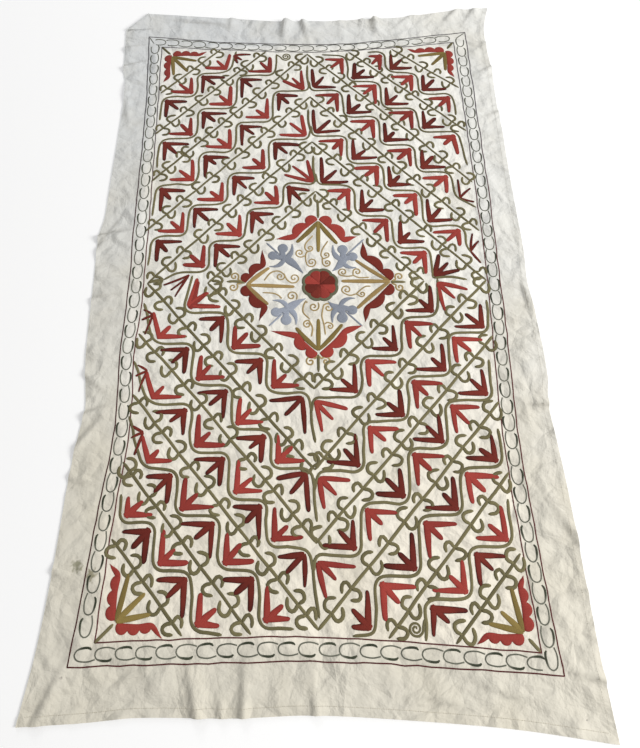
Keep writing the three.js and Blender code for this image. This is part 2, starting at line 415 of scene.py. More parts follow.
    def place(self, s: Array, t: Array) -> tuple[Array, Array]:
        """A place on the laid cloth from its fractions across and along.

        Args:
            s: Fractions across, from the left.
            t: Fractions along, from the bottom.

        Returns:
            The places' x and y, in millimetres.
        """
        corners = [np.array(c) for c in (self.bottom_left, self.bottom_right, self.top_left, self.top_right)]
        bottom_x = corners[0][0] + (corners[1][0] - corners[0][0]) * s
        top_x = corners[2][0] + (corners[3][0] - corners[2][0]) * s
        left_y = corners[0][1] + (corners[2][1] - corners[0][1]) * t
        right_y = corners[1][1] + (corners[3][1] - corners[1][1]) * t
        bottom = (bottom_x, self.along_edge(self.bottom_edge, bottom_x))
        top = (top_x, self.along_edge(self.top_edge, top_x))
        left = (self.along_edge(self.left_edge, left_y), left_y)
        right = (self.along_edge(self.right_edge, right_y), right_y)
        blend = []
        for k in (0, 1):
            between = bottom[k] * (1 - t) + top[k] * t + left[k] * (1 - s) + right[k] * s
            low = corners[0][k] * (1 - s) + corners[1][k] * s
            high = corners[2][k] * (1 - s) + corners[3][k] * s
            blend.append(between - low * (1 - t) - high * t)
        return blend[0], blend[1]

    def lift(self, x: Array, y: Array) -> Array:
        """How far the cloth's underside stands off the surface.

        Args:
            x: Places across, in millimetres.
            y: Places along, in millimetres.

        Returns:
            The lift at each place, in millimetres.
        """
        highest = np.zeros_like(x)
        for crease in self.creases:
            highest = np.maximum(highest, crease.lift(x, y))
        ripple = np.zeros_like(x)
        for crease in self.small:
            ripple += crease.lift(x, y)
        swell = 0.7 + 0.7 * np.sin(x / 74 + 1.3 * np.sin(y / 131)) * np.sin(y / 97 + 0.8 * np.sin(x / 118))
        return highest + self.most_ripple * np.tanh(ripple / self.most_ripple) + self.swell_height * swell

    def top(self, x: Array, y: Array) -> Array:
        """The height of the cloth's upper face at places across and along, all in metres."""
        return (self.lift(x / MM, y / MM) + self.thickness) * MM

    def hem(self, s: Array, t: Array) -> Array:
        """The hems' extra thickness, in millimetres, at fractions across and along the cloth."""
        nearest = np.minimum(t * self.length, (1 - s) * self.width)
        return self.hem_extra * np.clip((self.hem_depth - nearest) / self.hem_slope, 0, 1)

    def fold_axes(self) -> tuple[Array, Array, Array]:
        """The corner's fold line.

        Returns:
            A point on it, its direction, and the direction from it into the cloth.
        """
        start, end = np.array(self.fold_top, float), np.array(self.fold_side, float)
        along = (end - start) / np.hypot(*(end - start))
        return start, along, quarter_turn(along)

    def turned(self, x: Array, y: Array) -> tuple[Array, Array, Array]:
        """Turns the corner over its fold line.

        Args:
            x: Places across the unfolded cloth, in millimetres.
            y: Places along it, in millimetres.

        Returns:
            The places' x and y once folded, and the height of the right side of the cloth there.
        """
        start, along, inwards = self.fold_axes()
        rel = np.column_stack([x, y]) - start
        run, beyond = rel @ along, -(rel @ inwards)
        arc = math.pi * self.fold_radius
        angle = np.clip(beyond, 0, arc) / self.fold_radius
        inward = np.where(beyond < arc, -self.fold_radius * np.sin(angle), beyond - arc)
        inward = np.where(beyond <= 0, -beyond, inward)
        folded = start + run[:, None] * along + inward[:, None] * inwards
        u = np.clip((beyond - arc) / self.flap_lands_at, 0, 1)
        landing = 2 * self.fold_radius + (self.flap_clearance - 2 * self.fold_radius) * u * u * (3 - 2 * u)
        rise = np.where(beyond < arc, self.fold_radius * (1 - np.cos(angle)), landing)
        rise = np.where(beyond <= 0, 0, rise)
        height = self.lift(folded[:, 0], folded[:, 1]) + self.thickness + rise
        return folded[:, 0], folded[:, 1], height


class Nodes:
    """A material's nodes, with short ways to add and join them."""

    def __init__(self, name: str) -> None:
        """Starts a material with only its shader.

        Args:
            name: The material's name.
        """
        self.material = bpy.data.materials.new(name)
        self.material.use_nodes = True
        self.tree = self.material.node_tree
        self.shader = self.tree.nodes["Principled BSDF"]

    def add(self, kind: str, inputs: dict | None = None, **settings: object) -> bpy.types.Node:
        """Adds a node.

        Args:
            kind: The node's type, without its ShaderNode prefix.
            inputs: Values or sockets for its inputs, by name or number.
            **settings: The node's own settings.

        Returns:
            The new node.
        """
        node = self.tree.nodes.new("ShaderNode" + kind)
        for key, value in settings.items():
            setattr(node, key, value)
        for key, value in (inputs or {}).items():
            self.feed(node.inputs[key], value)
        return node

    def feed(self, socket: Socket, value: object) -> None:
        """Gives an input a value, or joins a socket to it.

        Args:
            socket: The input.
            value: A number, a colour, a vector or another node's output.
        """
        if isinstance(value, Socket):
            self.tree.links.new(value, socket)
        else:
            socket.default_value = value

    def surface(self, inputs: dict[str, object]) -> bpy.types.Material:
        """Gives the shader its inputs.

        Args:
            inputs: Values or sockets, by the inputs' names.

        Returns:
            The finished material.
        """
        for name, value in inputs.items():
            self.feed(self.shader.inputs[name], value)
        return self.material

    def sum(self, operation: str, *values: object) -> Socket:
        """Works out a number from numbers or sockets, by one of the Math node's operations."""
        return self.add("Math", dict(enumerate(values)), operation=operation).outputs[0]

    def mix(self, share: object, first: object, second: object) -> Socket:
        """Mixes two colours, or their sockets, by the share of the second."""
        return self.add("Mix", {0: share, 6: first, 7: second}, data_type="RGBA").outputs[2]

    def noise(
        self, vector: object, scale: float, detail: float, output: str = "Fac", **settings: object
    ) -> Socket:
        """Adds a noise about 0.5, with scale patches to a metre and detail finer layers."""
        inputs = {"Vector": vector, "Scale": scale, "Detail": detail}
        return self.add("TexNoise", inputs, **settings).outputs[output]

    def spread(
        self, value: object, low: float, high: float, to_low: float = 0, to_high: float = 1
    ) -> Socket:
        """Moves a number softly from the range low to high to another, and keeps it there."""
        inputs = {0: value, 1: low, 2: high, 3: to_low, 4: to_high}
        return self.add("MapRange", inputs, interpolation_type="SMOOTHSTEP").outputs[0]

    def bump(self, height: object, distance: float, strength: float = 1) -> Socket:
        """Adds a bump, where a height of 1 stands as many metres high as distance says."""
        inputs = {"Height": height, "Distance": distance, "Strength": strength}
        return self.add("Bump", inputs).outputs[0]

    def moved(self, operation: str, vector: object, other: object, slot: int | str = 1) -> Socket:
        """Works out a vector from one and a second, or from one and the number in the slot Scale."""
        return self.add("VectorMath", {0: vector, slot: other}, operation=operation).outputs[0]

    def mark(self, name: str, output: str = "Fac") -> Socket:
        """Reads an attribute of the mesh by its name."""
        return self.add("Attribute", attribute_name=name).outputs[output]


def srgb(red: int, green: int, blue: int) -> Colour:
    """The linear colour, fully opaque, of a red, a green and a blue from 0 to 255."""
    shares = [value / 255 for value in (red, green, blue)]
    return (*(c / 12.92 if c <= 0.04045 else ((c + 0.055) / 1.055) ** 2.4 for c in shares), 1.0)


@dataclass(frozen=True)
class Stain:
    """A stain on the cloth: its place and size in metres, and its colour."""

    place: Point
    size: float
    colour: Colour
    strength: float = 0.8


@dataclass(frozen=True)
class CottonFinish:
    """Handwoven cotton, washed and used: creamy where it is worked, greyer in the margins. Painted light
    tints it from cool at the far end to warm at the near end and lightens its margins towards the upper
    right; painted shade darkens the creases' steep flanks.
    """

    # Painted light tint: the ground and the margins run from cool at the far end to warm at the near end, and
    # the far margin is also a little darker.
    ground_far: Colour = srgb(233, 231, 224)
    ground_near: Colour = srgb(232, 225, 210)
    margin_far: Colour = srgb(207, 209, 209)
    margin_near: Colour = srgb(213, 208, 194)
    # Painted light: the margins' colour where more light falls, towards the upper right.
    margin_lit_upper_right: Colour = srgb(224, 223, 217)
    mottle: Colour = srgb(205, 196, 172)
    mottle_share: float = 0.25
    # Painted shade along the creases' steep flanks, and how strongly it darkens the cotton.
    crease_shade: Colour = srgb(142, 138, 128)
    crease_shade_share: float = 0.7
    streak: Colour = srgb(176, 170, 156)
    streak_share: float = 0.16
    threads: float = 290
    thread_height: float = 0.06 * MM
    drift: float = 0.09
    # The layers of its relief: how many folds lie in a metre, and how high 1 stands, in metres.
    lumps: Point = (6.5, 0.021)
    folds: tuple[Point, ...] = ((7, 0.011), (17, 0.008))
    crumples: Point = (17, 0.0098)
    wrinkles: Point = (50, 0.0048)
    roughness: float = 0.92
    gloss: float = 0.2
    sheen: float = 0.12
    stains: tuple[Stain, ...] = (
        Stain((-0.556, -0.752), 0.026, srgb(124, 122, 96)),
        Stain((-0.521, -0.772), 0.024, srgb(128, 122, 92)),
        Stain((-0.560, -0.985), 0.007, srgb(120, 112, 108)),
        Stain((0.585, -1.045), 0.004, srgb(96, 92, 88)),
    )

    def make(self) -> bpy.types.Material:
        """Makes the material.

        Returns:
            The material of the ground cloth.
        """
        nodes = Nodes("handwoven_cotton")
        place = nodes.add("TexCoord").outputs["Object"]
        across, along, _ = nodes.add("SeparateXYZ", {0: place}).outputs
        # Painted light tint of the margins, from cool at the far end to warm at the near end.
        margin = nodes.mix(nodes.spread(along, 0.9, -0.9), self.margin_far, self.margin_near)
        # Painted light: the margins turn lighter towards the upper right, where the light is stronger.
        lit_upper_right_share = nodes.spread(nodes.sum("MULTIPLY_ADD", along, 0.5, across), 0.2, 1.0, 0, 0.8)
        margin = nodes.mix(lit_upper_right_share, margin, self.margin_lit_upper_right)
        # Painted light tint of the worked ground, from cool at the far end to warm at the near end.
        ground = nodes.mix(nodes.spread(along, 0.1, -0.8), self.ground_far, self.ground_near)
        colour = nodes.mix(nodes.mark("worked"), margin, ground)
        cloudy = nodes.spread(nodes.noise(place, 5, 5), 0.42, 0.72, 0, self.mottle_share)
        colour = nodes.mix(cloudy, colour, self.mottle)
        # Painted shade in the creases' steep feet.
        shaded_share = nodes.sum("MULTIPLY", nodes.mark("crease_shade"), self.crease_shade_share)
        colour = nodes.mix(shaded_share, colour, self.crease_shade)
        streaks = nodes.spread(nodes.noise(place, 38, 4), 0.4, 0.8, 0, self.streak_share)
        colour = nodes.mix(streaks, colour, self.streak)
        for stain in self.stains:
            away = nodes.add("VectorMath", {0: place, 1: (*stain.place, 2 * MM)}, operation="DISTANCE")
            rough = nodes.noise(place, 120, 3)
            ragged = nodes.sum("MULTIPLY_ADD", rough, stain.size * 1.5, away.outputs["Value"])
            spot = nodes.spread(ragged, stain.size * 1.5, stain.size * 0.9, 0, stain.strength)
            colour = nodes.mix(spot, colour, stain.colour)
        normal = nodes.bump(self.relief(nodes, place), 1.0)
        inputs = {"Base Color": colour, "Normal": normal, "Roughness": self.roughness}
        return nodes.surface({**inputs, "Specular IOR Level": self.gloss, "Sheen Weight": self.sheen})

    def relief(self, nodes: Nodes, place: Socket) -> Socket:
        """Adds up the cotton's lumps, folds, wrinkles and weave.

        Args:
            nodes: The material's nodes.
            place: The socket with the place.

        Returns:
            The socket with the height, in metres.
        """
        bent = nodes.moved("SCALE", nodes.noise(place, 4, 2, "Color"), self.drift, "Scale")
        drifted = nodes.moved("ADD", place, bent)
        scale, height = self.lumps
        total = nodes.sum("MULTIPLY", nodes.noise(place, scale, 2), height)
        for scale, height in self.folds:
            cells = nodes.add("TexVoronoi", {"Vector": drifted, "Scale": scale}, feature="DISTANCE_TO_EDGE")
            total = nodes.sum("MULTIPLY_ADD", cells.outputs["Distance"], height, total)
        scale, height = self.crumples
        crumple = nodes.noise(drifted, scale, 4, noise_type="RIDGED_MULTIFRACTAL")
        total = nodes.sum("MULTIPLY_ADD", crumple, height, total)
        scale, height = self.wrinkles
        total = nodes.sum("MULTIPLY_ADD", nodes.noise(drifted, scale, 3), height, total)
        inputs = {"Vector": place, "Scale": self.threads, "Distortion": 0.6}
        bands = [nodes.add("TexWave", inputs, bands_direction=way).outputs["Fac"] for way in ("X", "Y")]
        return nodes.sum("MULTIPLY_ADD", nodes.sum("MAXIMUM", *bands), self.thread_height, total)


@dataclass(frozen=True)
class ThreadFinish:
    """Dyed thread worked in rows of chain stitch. It is darker at tips and along outlines, the outlines
    partly a darker edge of the stitching and partly painted shadow; painted shade darkens the hollows between
    its stitches and dims it towards the far end.
    """

    name: str
    core: Colour
    dark: Colour
    # The share of darkening near outlines: partly the stitching's darker edge, partly painted shadow where it
    # meets the cloth.
    outline_and_shadow_share: float = 0.5
    tip_share: float = 0.3
    tone_spread: float = 0.16
    row_width: float = 2.4 * MM
    link_length: float = 3.4 * MM
    link_point: float = 0.55
    stitch_height: float = 0.6 * MM
    # Painted shade that dims the thread towards the far end: the distance in metres over which it dims, and
    # the brightness that it ends at.
    far_shade_reach: float = 0.9
    far_shade_brightness: float = 0.8
    roughness: float = 0.78
    gloss: float = 0.12

    def make(self) -> bpy.types.Material:
        """Makes the material.

        Returns:
            The material of a thread of this colour.
        """
        nodes = Nodes(self.name)
        uv = nodes.add("SeparateXYZ", {0: nodes.add("UVMap", uv_map="thread").outputs[0]})
        place = nodes.add("TexCoord").outputs["Object"]
        edge, tone, tip = nodes.add("SeparateColor", {0: nodes.mark("shade", "Color")}).outputs
        across = nodes.sum("FRACT", nodes.sum("DIVIDE", uv.outputs[1], self.row_width))
        aside = nodes.sum("ABSOLUTE", nodes.sum("MULTIPLY_ADD", across, 2, -1))
        links = nodes.sum("DIVIDE", uv.outputs[0], self.link_length)
        link = nodes.sum("FRACT", nodes.sum("MULTIPLY_ADD", aside, self.link_point, links))
        round_link = nodes.sum("SINE", nodes.sum("MULTIPLY", link, math.pi))
        round_row = nodes.sum("SUBTRACT", 1, nodes.sum("POWER", aside, 2.5))
        stitch = nodes.sum("MULTIPLY", round_row, nodes.sum("POWER", round_link, 0.5))
        worn = nodes.sum("SUBTRACT", nodes.noise(place, 60, 4), 0.5)
        # Darker near the outline: partly the stitching's darker edge, partly painted shadow where it meets
        # the cloth.
        outline = nodes.sum("MULTIPLY", nodes.sum("POWER", edge, 2.5), self.outline_and_shadow_share)
        ends = nodes.sum("MULTIPLY", nodes.sum("POWER", tip, 2), self.tip_share)
        darker = nodes.sum("MULTIPLY_ADD", worn, 0.7, nodes.sum("ADD", outline, ends))
        colour = nodes.mix(nodes.spread(darker, 0, 1), self.core, self.dark)
        along = nodes.add("SeparateXYZ", {0: place}).outputs[1]
        brightness = nodes.spread(tone, 0, 1, 1 - self.tone_spread, 1 + self.tone_spread)
        # Painted shade: darker in the hollows between stitches with a slight painted highlight on their
        # crowns, and dimmer towards the far end.
        for share in (
            nodes.spread(stitch, 0, 0.8, 0.72, 1.06),
            nodes.spread(along, 0, self.far_shade_reach, 1, self.far_shade_brightness),
        ):
            brightness = nodes.sum("MULTIPLY", brightness, share)
        tinted = nodes.moved("SCALE", colour, brightness, "Scale")
        normal = nodes.bump(stitch, self.stitch_height, 0.6)
        inputs = {"Base Color": tinted, "Normal": normal, "Roughness": self.roughness}
        return nodes.surface({**inputs, "Specular IOR Level": self.gloss})


LIGHT_RED = ThreadFinish("light_red_thread", srgb(158, 64, 56), srgb(106, 34, 32), 0.55, 0.25)
MAROON = ThreadFinish("maroon_thread", srgb(116, 46, 37), srgb(54, 26, 22), 0.6, 0.5)
OLIVE = ThreadFinish("olive_thread", srgb(115, 108, 77), srgb(72, 70, 48), 0.5, 0.1, 0.14, 3.1 * MM)
GOLD = ThreadFinish("gold_thread", srgb(138, 119, 68), srgb(104, 89, 48), 0.4, 0.1)
SAND = ThreadFinish("sand_thread", srgb(164, 138, 90), srgb(130, 106, 64), 0.4, 0.1)
BLUE = ThreadFinish("blue_thread", srgb(150, 156, 168), srgb(120, 128, 142), 0.3, 0.2)
MOSS = ThreadFinish("moss_thread", srgb(104, 105, 84), srgb(78, 82, 64), 0.5, 0.0)
FINE_GOLD = ThreadFinish("fine_gold_thread", srgb(170, 148, 104), srgb(134, 112, 74), 0.4, 0.0, 0.1, 2.6 * MM)
FRAME_DARK = ThreadFinish("frame_thread", srgb(86, 42, 42), srgb(92, 86, 90), 0.0, 1.0, 0.3, 2.6 * MM)
CHAIN_DARK = ThreadFinish("chain_thread", srgb(108, 109, 97), srgb(66, 70, 56), 0.1, 1.0, 0.14, 2.8 * MM)
SEWING = ThreadFinish("sewing_thread", srgb(206, 200, 184), srgb(168, 160, 144), 0.3, 0.0, 0.1, 1.0 * MM)


# The section of a band of stitches, by its number of points: each one's share of the reach and of the height.
SECTIONS: dict[int, tuple[Point, ...]] = {
    5: ((1, 0), (0.62, 0.86), (0, 1), (-0.62, 0.86), (-1, 0)),
    7: ((1, 0), (0.82, 0.78), (0.42, 0.97), (0, 1), (-0.42, 0.97), (-0.82, 0.78), (-1, 0)),
}


@dataclass
class Worked:
    """Gathers the lines and leaves of one thread, and makes them one closed mesh lying on the cloth."""

    cloth: ClothForm
    rng: Random
    name: str
    slot: str
    finish: ThreadFinish
    crown: float = 1.1 * MM
    sunk: float = 0.35 * MM
    base_lift: float = 0.0
    # A patch's rim: its width, and its height as a share of the whole. The pitch is of the points within.
    rim: float = 1.6
    rim_height: float = 0.82
    pitch: float = 6.0
    places: list[Array] = field(default_factory=list)
    uvs: list[Array] = field(default_factory=list)
    shades: list[Array] = field(default_factory=list)
    faces: list[tuple[int, ...]] = field(default_factory=list)
    count: int = 0

    def keep(self, places: Array, uvs: Array, shades: Array, faces: list[tuple[int, ...]]) -> None:
        """Adds one closed piece of stitching.

        Args:
            places: Each vertex's x and y on the chart, and its height over the cloth in metres.
            uvs: Each vertex's distances along and across the stitching, in metres.
            shades: Each vertex's nearness to the outline, tone and nearness to the tip.
            faces: The faces, by the piece's own vertices.
        """
        self.places.append(places)
        self.uvs.append(uvs)
        self.shades.append(shades)
        self.faces.extend(tuple(index + self.count for index in face) for face in faces)
        self.count += len(places)

    def ribbon(
        self, path: Array, left: Array, right: Array, tone: float, rows: int = 5,
        tip: Array | None = None, over: float = 0.0,
    ) -> None:
        """Works a band of stitches along a path, rounded over its top.

        Args:
            path: The places along it, on the chart.
            left: Its reach to the left at each place, in chart units.
            right: Its reach to the right.
            tone: Its tone, from 0 to 1.
            rows: How many points its section has.
            tip: The nearness to the tip at each place, or the share along the path when left out.
            over: How much higher it stands than others, in metres.
        """
        shares, heights = np.array(SECTIONS[rows], float).T
        reach = np.where(shares > 0, left[:, None], right[:, None]) * shares
        xy = path[:, None, :] + side_of(path)[:, None, :] * reach[:, :, None]
        thin = np.clip((left + right)[:, None] * CHART_UNIT / (2 * self.crown), 0.2, 1)
        height = heights * (self.crown * thin + over + self.sunk) - self.sunk
        along = reached(path) * CHART_UNIT
        if tip is None:
            tip = along / along[-1]
        stations = len(path)
        grid = np.ones((stations, rows))
        places = np.dstack([xy, height])
        uvs = np.dstack([grid * along[:, None], reach * CHART_UNIT])
        shades = np.dstack([grid * np.abs(shares), grid * tone, grid * tip[:, None]])
        faces = []
        for i in range(stations - 1):
            for j in range(rows):
                k = (j + 1) % rows
                faces.append((i * rows + j, (i + 1) * rows + j, (i + 1) * rows + k, i * rows + k))
        faces.append(tuple(range(rows)))
        faces.append(tuple((stations - 1) * rows + j for j in reversed(range(rows))))
        self.keep(places.reshape(-1, 3), uvs.reshape(-1, 2), shades.reshape(-1, 3), faces)

    def line(self, path: Array, width: float, tone: float | None = None) -> None:
        """Works a line of nearly even width with round ends.

        Args:
            path: The places along it, on the chart.
            width: Its width, in chart units.
            tone: Its tone, from 0 to 1, or None to leave it to chance.
        """
        tone = self.rng.random() if tone is None else tone
        lengths = reached(path)
        knots = max(2, int(lengths[-1] / 30) + 1)
        uneven = [self.rng.uniform(0.9, 1.1) for _ in range(knots)]
        half = width / 2 * np.interp(lengths, np.linspace(0, lengths[-1], knots), uneven)
        nearest = np.minimum(lengths, lengths[-1] - lengths)
        half *= np.interp(nearest, (0, width * 0.35, width * 0.7), (0.45, 0.85, 1))
        self.ribbon(path, half, half, tone, tip=np.full(len(path), 0.0))

    def leaf(
        self, root: Array, end: Array, width: float, tone: float, bend: float = 0.0,
        blunt: float = 0.75, lean: float = 0.5, root_share: float = 0.8, over: float = 0.0,
    ) -> None:
        """Works a long leaf from its root to its end.

        Args:
            root: Where it starts, on the chart.
            end: Where it ends.
            width: Its greatest width, in chart units.
            tone: Its tone, from 0 to 1.
            bend: How far its middle bows to the left.
            blunt: Its width near the end, as a share of the greatest.
            lean: How much of the width lies to the left of the line, from 0 to 1.
            root_share: Its width at the root, as a share of the greatest.
            over: How much higher it stands than others, in metres.
        """
        root, end = np.array(root, float), np.array(end, float)
        run = end - root
        length = np.hypot(*run)
        aside = quarter_turn(run) / length
        nose = min(0.4, 0.5 * width * blunt / length * 1.5)
        rounding = 1 - nose * np.array([0.7, 0.4, 0.17, 0.04, 0])
        u = np.concatenate([[0, 0.03, 0.07], np.linspace(0.12, 1 - nose, 7), rounding])
        body = np.interp(u, (0, 0.1, 0.45, 1 - nose, 1), (0.6 * root_share, root_share, 1, blunt, blunt))
        bow = bend * 4 * u * (1 - u) + (lean - 0.5) * width * body
        path = root + u[:, None] * run + bow[:, None] * aside
        into = np.clip(u - 1 + nose, 0, None) / nose
        half = width * body * np.sqrt(np.clip(1 - into**2, 0.01, 1)) / 2
        self.ribbon(path, half, half, tone, rows=7, tip=u, over=over)

    def pad(
        self, outline: Array, towards: float, tone: float, tip: Array | None = None, over: float = 0.0
    ) -> None:
        """Works a filled patch within an outline, rounded at its rim.

        Args:
            outline: Its outline on the chart, anticlockwise.
            towards: The direction that its rows of stitches run in, in radians.
            tone: Its tone, from 0 to 1.
            tip: The nearness to the tip at each point of the outline.
            over: How much higher it stands than others, in metres.
        """
        pitch = self.pitch
        outer = np.asarray(outline, float)
        inner = outer + left_of(np.roll(outer, -1, axis=0) - np.roll(outer, 1, axis=0)) * self.rim
        low, high = outer.min(0), outer.max(0)
        spots = []
        for row, y in enumerate(np.arange(low[1] + pitch / 2, high[1], pitch * 0.87)):
            for x in np.arange(low[0] + (row % 2) * pitch / 2, high[0], pitch):
                gap = np.hypot(outer[:, 0] - x, outer[:, 1] - y).min()
                if gap > pitch * 0.75 and inside(outer, x, y):
                    spots.append((x, y))
        count = len(outer)
        points = [Vector(p) for p in [*outer, *inner, *spots]]
        ring = [(i, (i + 1) % count) for i in range(count)]
        made = geometry.delaunay_2d_cdt(points, ring, [], 1, 1e-5)
        where, triangles, sources = made[0], made[2], made[3]
        height = np.full(len(where), self.crown + over)
        edge = np.zeros(len(where))
        tips = np.zeros(len(where))
        for new, old in enumerate(sources):
            first = min(old) if old else count
            if first < count:
                height[new], edge[new] = -self.sunk, 1.0
            elif first < 2 * count:
                height[new], edge[new] = (self.crown + over) * self.rim_height, 0.75
            if tip is not None:
                tips[new] = tip[first % count] if first < 2 * count else float(tip.mean())
        xy = np.array([tuple(v) for v in where])
        flat = np.vstack([xy, xy])
        turn = np.array([[math.cos(towards), math.sin(towards)], [-math.sin(towards), math.cos(towards)]])
        uvs = flat @ turn.T * CHART_UNIT
        under = np.full(len(xy), -self.sunk)
        places = np.column_stack([flat, np.concatenate([height, under])])
        shades = np.column_stack([np.tile(edge, 2), np.full(len(flat), tone), np.tile(tips, 2)])
        size = len(xy)
        rim_of = {new for new in range(size) if edge[new] == 1.0}
        faces = []
        for triangle in triangles:
            faces.append(tuple(triangle))
            faces.append(tuple(i if i in rim_of else i + size for i in reversed(triangle)))
        self.keep(places, uvs, shades, faces)

    def build(self) -> Object:
        """Makes the gathered stitching one object on the cloth.

        Returns:
            The object, dressed and riding on the cloth's body.
        """
        places = np.vstack(self.places)
        xy = metres(places[:, :2])
        z = self.cloth.top(xy[:, 0], xy[:, 1]) + places[:, 2] + self.base_lift
        mesh = bpy.data.meshes.new(self.name)
        mesh.from_pydata(np.column_stack([xy, z]).tolist(), [], self.faces)
        mesh.validate()
        loops = np.zeros(len(mesh.loops), int)
        mesh.loops.foreach_get("vertex_index", loops)
        uvs = np.vstack(self.uvs)[loops].astype(np.float32)
        mesh.uv_layers.new(name="thread").data.foreach_set("uv", uvs.ravel())
        shades = np.column_stack([np.vstack(self.shades), np.ones(len(places))])
        attribute = mesh.attributes.new("shade", "FLOAT_COLOR", "POINT")
        attribute.data.foreach_set("color", shades.astype(np.float32).ravel())
        piece = bpy.data.objects.new(self.name, mesh)
        bpy.context.scene.collection.objects.link(piece)
        finish_mesh(piece)
        piece.data.materials.append(self.finish.make())
        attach(piece, "root")
        log.info("%s: %d faces", self.name, len(mesh.polygons))
        return piece


def pick(piece: Object) -> None:
    """Selects one object and nothing else, and makes it the active one.

    Args:
        piece: The object.
    """
    bpy.ops.object.select_all(action="DESELECT")
    piece.select_set(True)
    bpy.context.view_layer.objects.active = piece


def finish_mesh(piece: Object) -> None:
    """Drops loose vertices, points the faces outwards and shades them smoothly.

    Args:
        piece: The object.
    """
    pick(piece)
    bpy.ops.object.mode_set(mode="EDIT")
    bpy.ops.mesh.select_all(action="SELECT")
    bpy.ops.mesh.delete_loose()
    bpy.ops.mesh.select_all(action="SELECT")
    bpy.ops.mesh.normals_make_consistent(inside=False)
    bpy.ops.object.mode_set(mode="OBJECT")
    bpy.ops.object.shade_smooth()
    piece.select_set(False)


def inside(outline: Array, x: float, y: float) -> bool:
    """Whether a place lies within an outline.

    Args:
        outline: The outline's points, one in each row.
        x: The place's x.
        y: The place's y.

    Returns:
        True if it lies within.
    """
    nxt = np.roll(outline, -1, axis=0)
    spans = (outline[:, 1] > y) != (nxt[:, 1] > y)
    rise = nxt[:, 1] - outline[:, 1]
    rise = np.where(np.abs(rise) < TINY, TINY, rise)
    cross = outline[:, 0] + (y - outline[:, 1]) / rise * (nxt[:, 0] - outline[:, 0])
    return bool(np.count_nonzero(spans & (cross > x)) % 2)


@dataclass(frozen=True)
class Wave:
    """One stepped line of a quarter: its ends, the x of its upright runs and the y of its level ones."""

    start: tuple[Point, ...]
    drops: tuple[float, ...]
    levels: tuple[float, ...]
    end: tuple[Point, ...]
    swapped: bool = False
    # A first corner that lies this near to the start is left out.
    joined_within: float = 22

    def corners(self, quarter: Quarter) -> list[Point]:
        """The line's corners in order.

        Args:
            quarter: The quarter that it lies in.

        Returns:
            The corners, without the line's ends.
        """
        first, second = (self.levels, self.drops) if quarter.is_top else (self.drops, self.levels)
        turns: list[float] = []
        for i in range(max(len(first), len(second))):
            turns.extend(row[i] for row in (first, second) if i < len(row))
        found = []
        for k, (a, b) in enumerate(zip(turns, turns[1:])):
            level_first = (k % 2 == 0) == quarter.is_top
            found.append((b, a) if level_first else (a, b))
        if math.dist(found[0], self.start[-1]) < self.joined_within:
            found = found[1:]
        return found


@dataclass(frozen=True)
class Stem:
    """One slanting stem: its ends, the x of its clovers and of its lone hooked pairs, and how far it sags."""

    start: Point
    end: Point
    clovers: tuple[float, ...]
    lone_upper: float | None = None
    lone_lower: float | None = None
    sag: float = 0.0

    def at(self, x: float) -> Array:
        """The place on the stem at an x.

        Args:
            x: The x on the chart.

        Returns:
            The place.
        """
        share = (x - self.start[0]) / (self.end[0] - self.start[0])
        bow = 4 * self.sag * share * (1 - share)
        return np.array([x, self.start[1] + share * (self.end[1] - self.start[1]) - bow])


WAVES: dict[Quarter, tuple[Wave, ...]] = {
    Quarter.TOP_RIGHT: (
        Wave(((24, 342), (27, 304)), (130, 228, 322), (302, 203, 103), ((322, 12),)),
        Wave(((13, 512), (17, 477)), (116, 213, 312, 418), (476, 379, 285, 169, 100), ((450, 57),)),
        Wave(((9, 684), (14, 649)), (108, 210, 308, 402), (647, 545, 440, 345, 265), ((457, 227),)),
        Wave(((50, 793),), (127, 222, 324, 436), (787, 680, 577, 487), ((450, 368),)),
        Wave(((192, 801),), (245, 335, 437), (801, 716, 631), ((437, 548),)),
    ),
    Quarter.TOP_LEFT: (
        Wave(((24, 342), (18, 306)), (-68, -168, -262), (314, 229, 127, 32), ((-340, 30), (-378, 8))),
        Wave(((13, 512), (8, 464)), (-108, -222, -325, -420), (465, 348, 241, 140), ((-424, 50),)),
        Wave(((8, 684), (5, 649)), (-100, -207, -308, -425), (650, 531, 421, 309), ((-427, 205),)),
        Wave(((-92, 797),), (-96, -212, -323, -430), (797, 712, 582, 470), ((-428, 367),)),
        Wave(((-218, 812),), (-235, -332, -437), (812, 724, 630), ((-436, 540),)),
    ),
    Quarter.BOTTOM_LEFT: (
        Wave(((-303, 20),), (-321, -203, -103), (-85, -198, -298), ((-2, -298), (4, -345))),
        Wave(((-423, -60),), (-388, -287, -186, -92), (-170, -279, -388, -477), ((0, -477), (9, -525))),
        Wave(((-432, -218),), (-387, -281, -185, -98), (-326, -441, -545, -645), ((-4, -645), (4, -695))),
        Wave(((-430, -357),), (-385, -304, -202, -112), (-479, -583, -694, -804), ((-38, -804),)),
        Wave(((-428, -537),), (-427, -343, -255), (-598, -697, -813), ((-187, -817),)),
    ),
    Quarter.BOTTOM_RIGHT: (
        Wave(((333, 10),), (325, 229, 126), (-98, -201, -309), ((8, -307), (4, -345))),
        Wave(((450, -52),), (447, 342, 234, 124), (-141, -254, -366, -484), ((14, -481), (9, -525))),
        Wave(((436, -212),), (434, 320, 222, 109), (-314, -428, -551, -662), ((10, -658), (4, -695))),
        Wave(((435, -382),), (437, 337, 235, 133), (-471, -577, -701, -815), ((83, -815),)),
        Wave(((436, -540),), (437, 338, 236), (-640, -744), ((232, -822),), swapped=True),
    ),
}

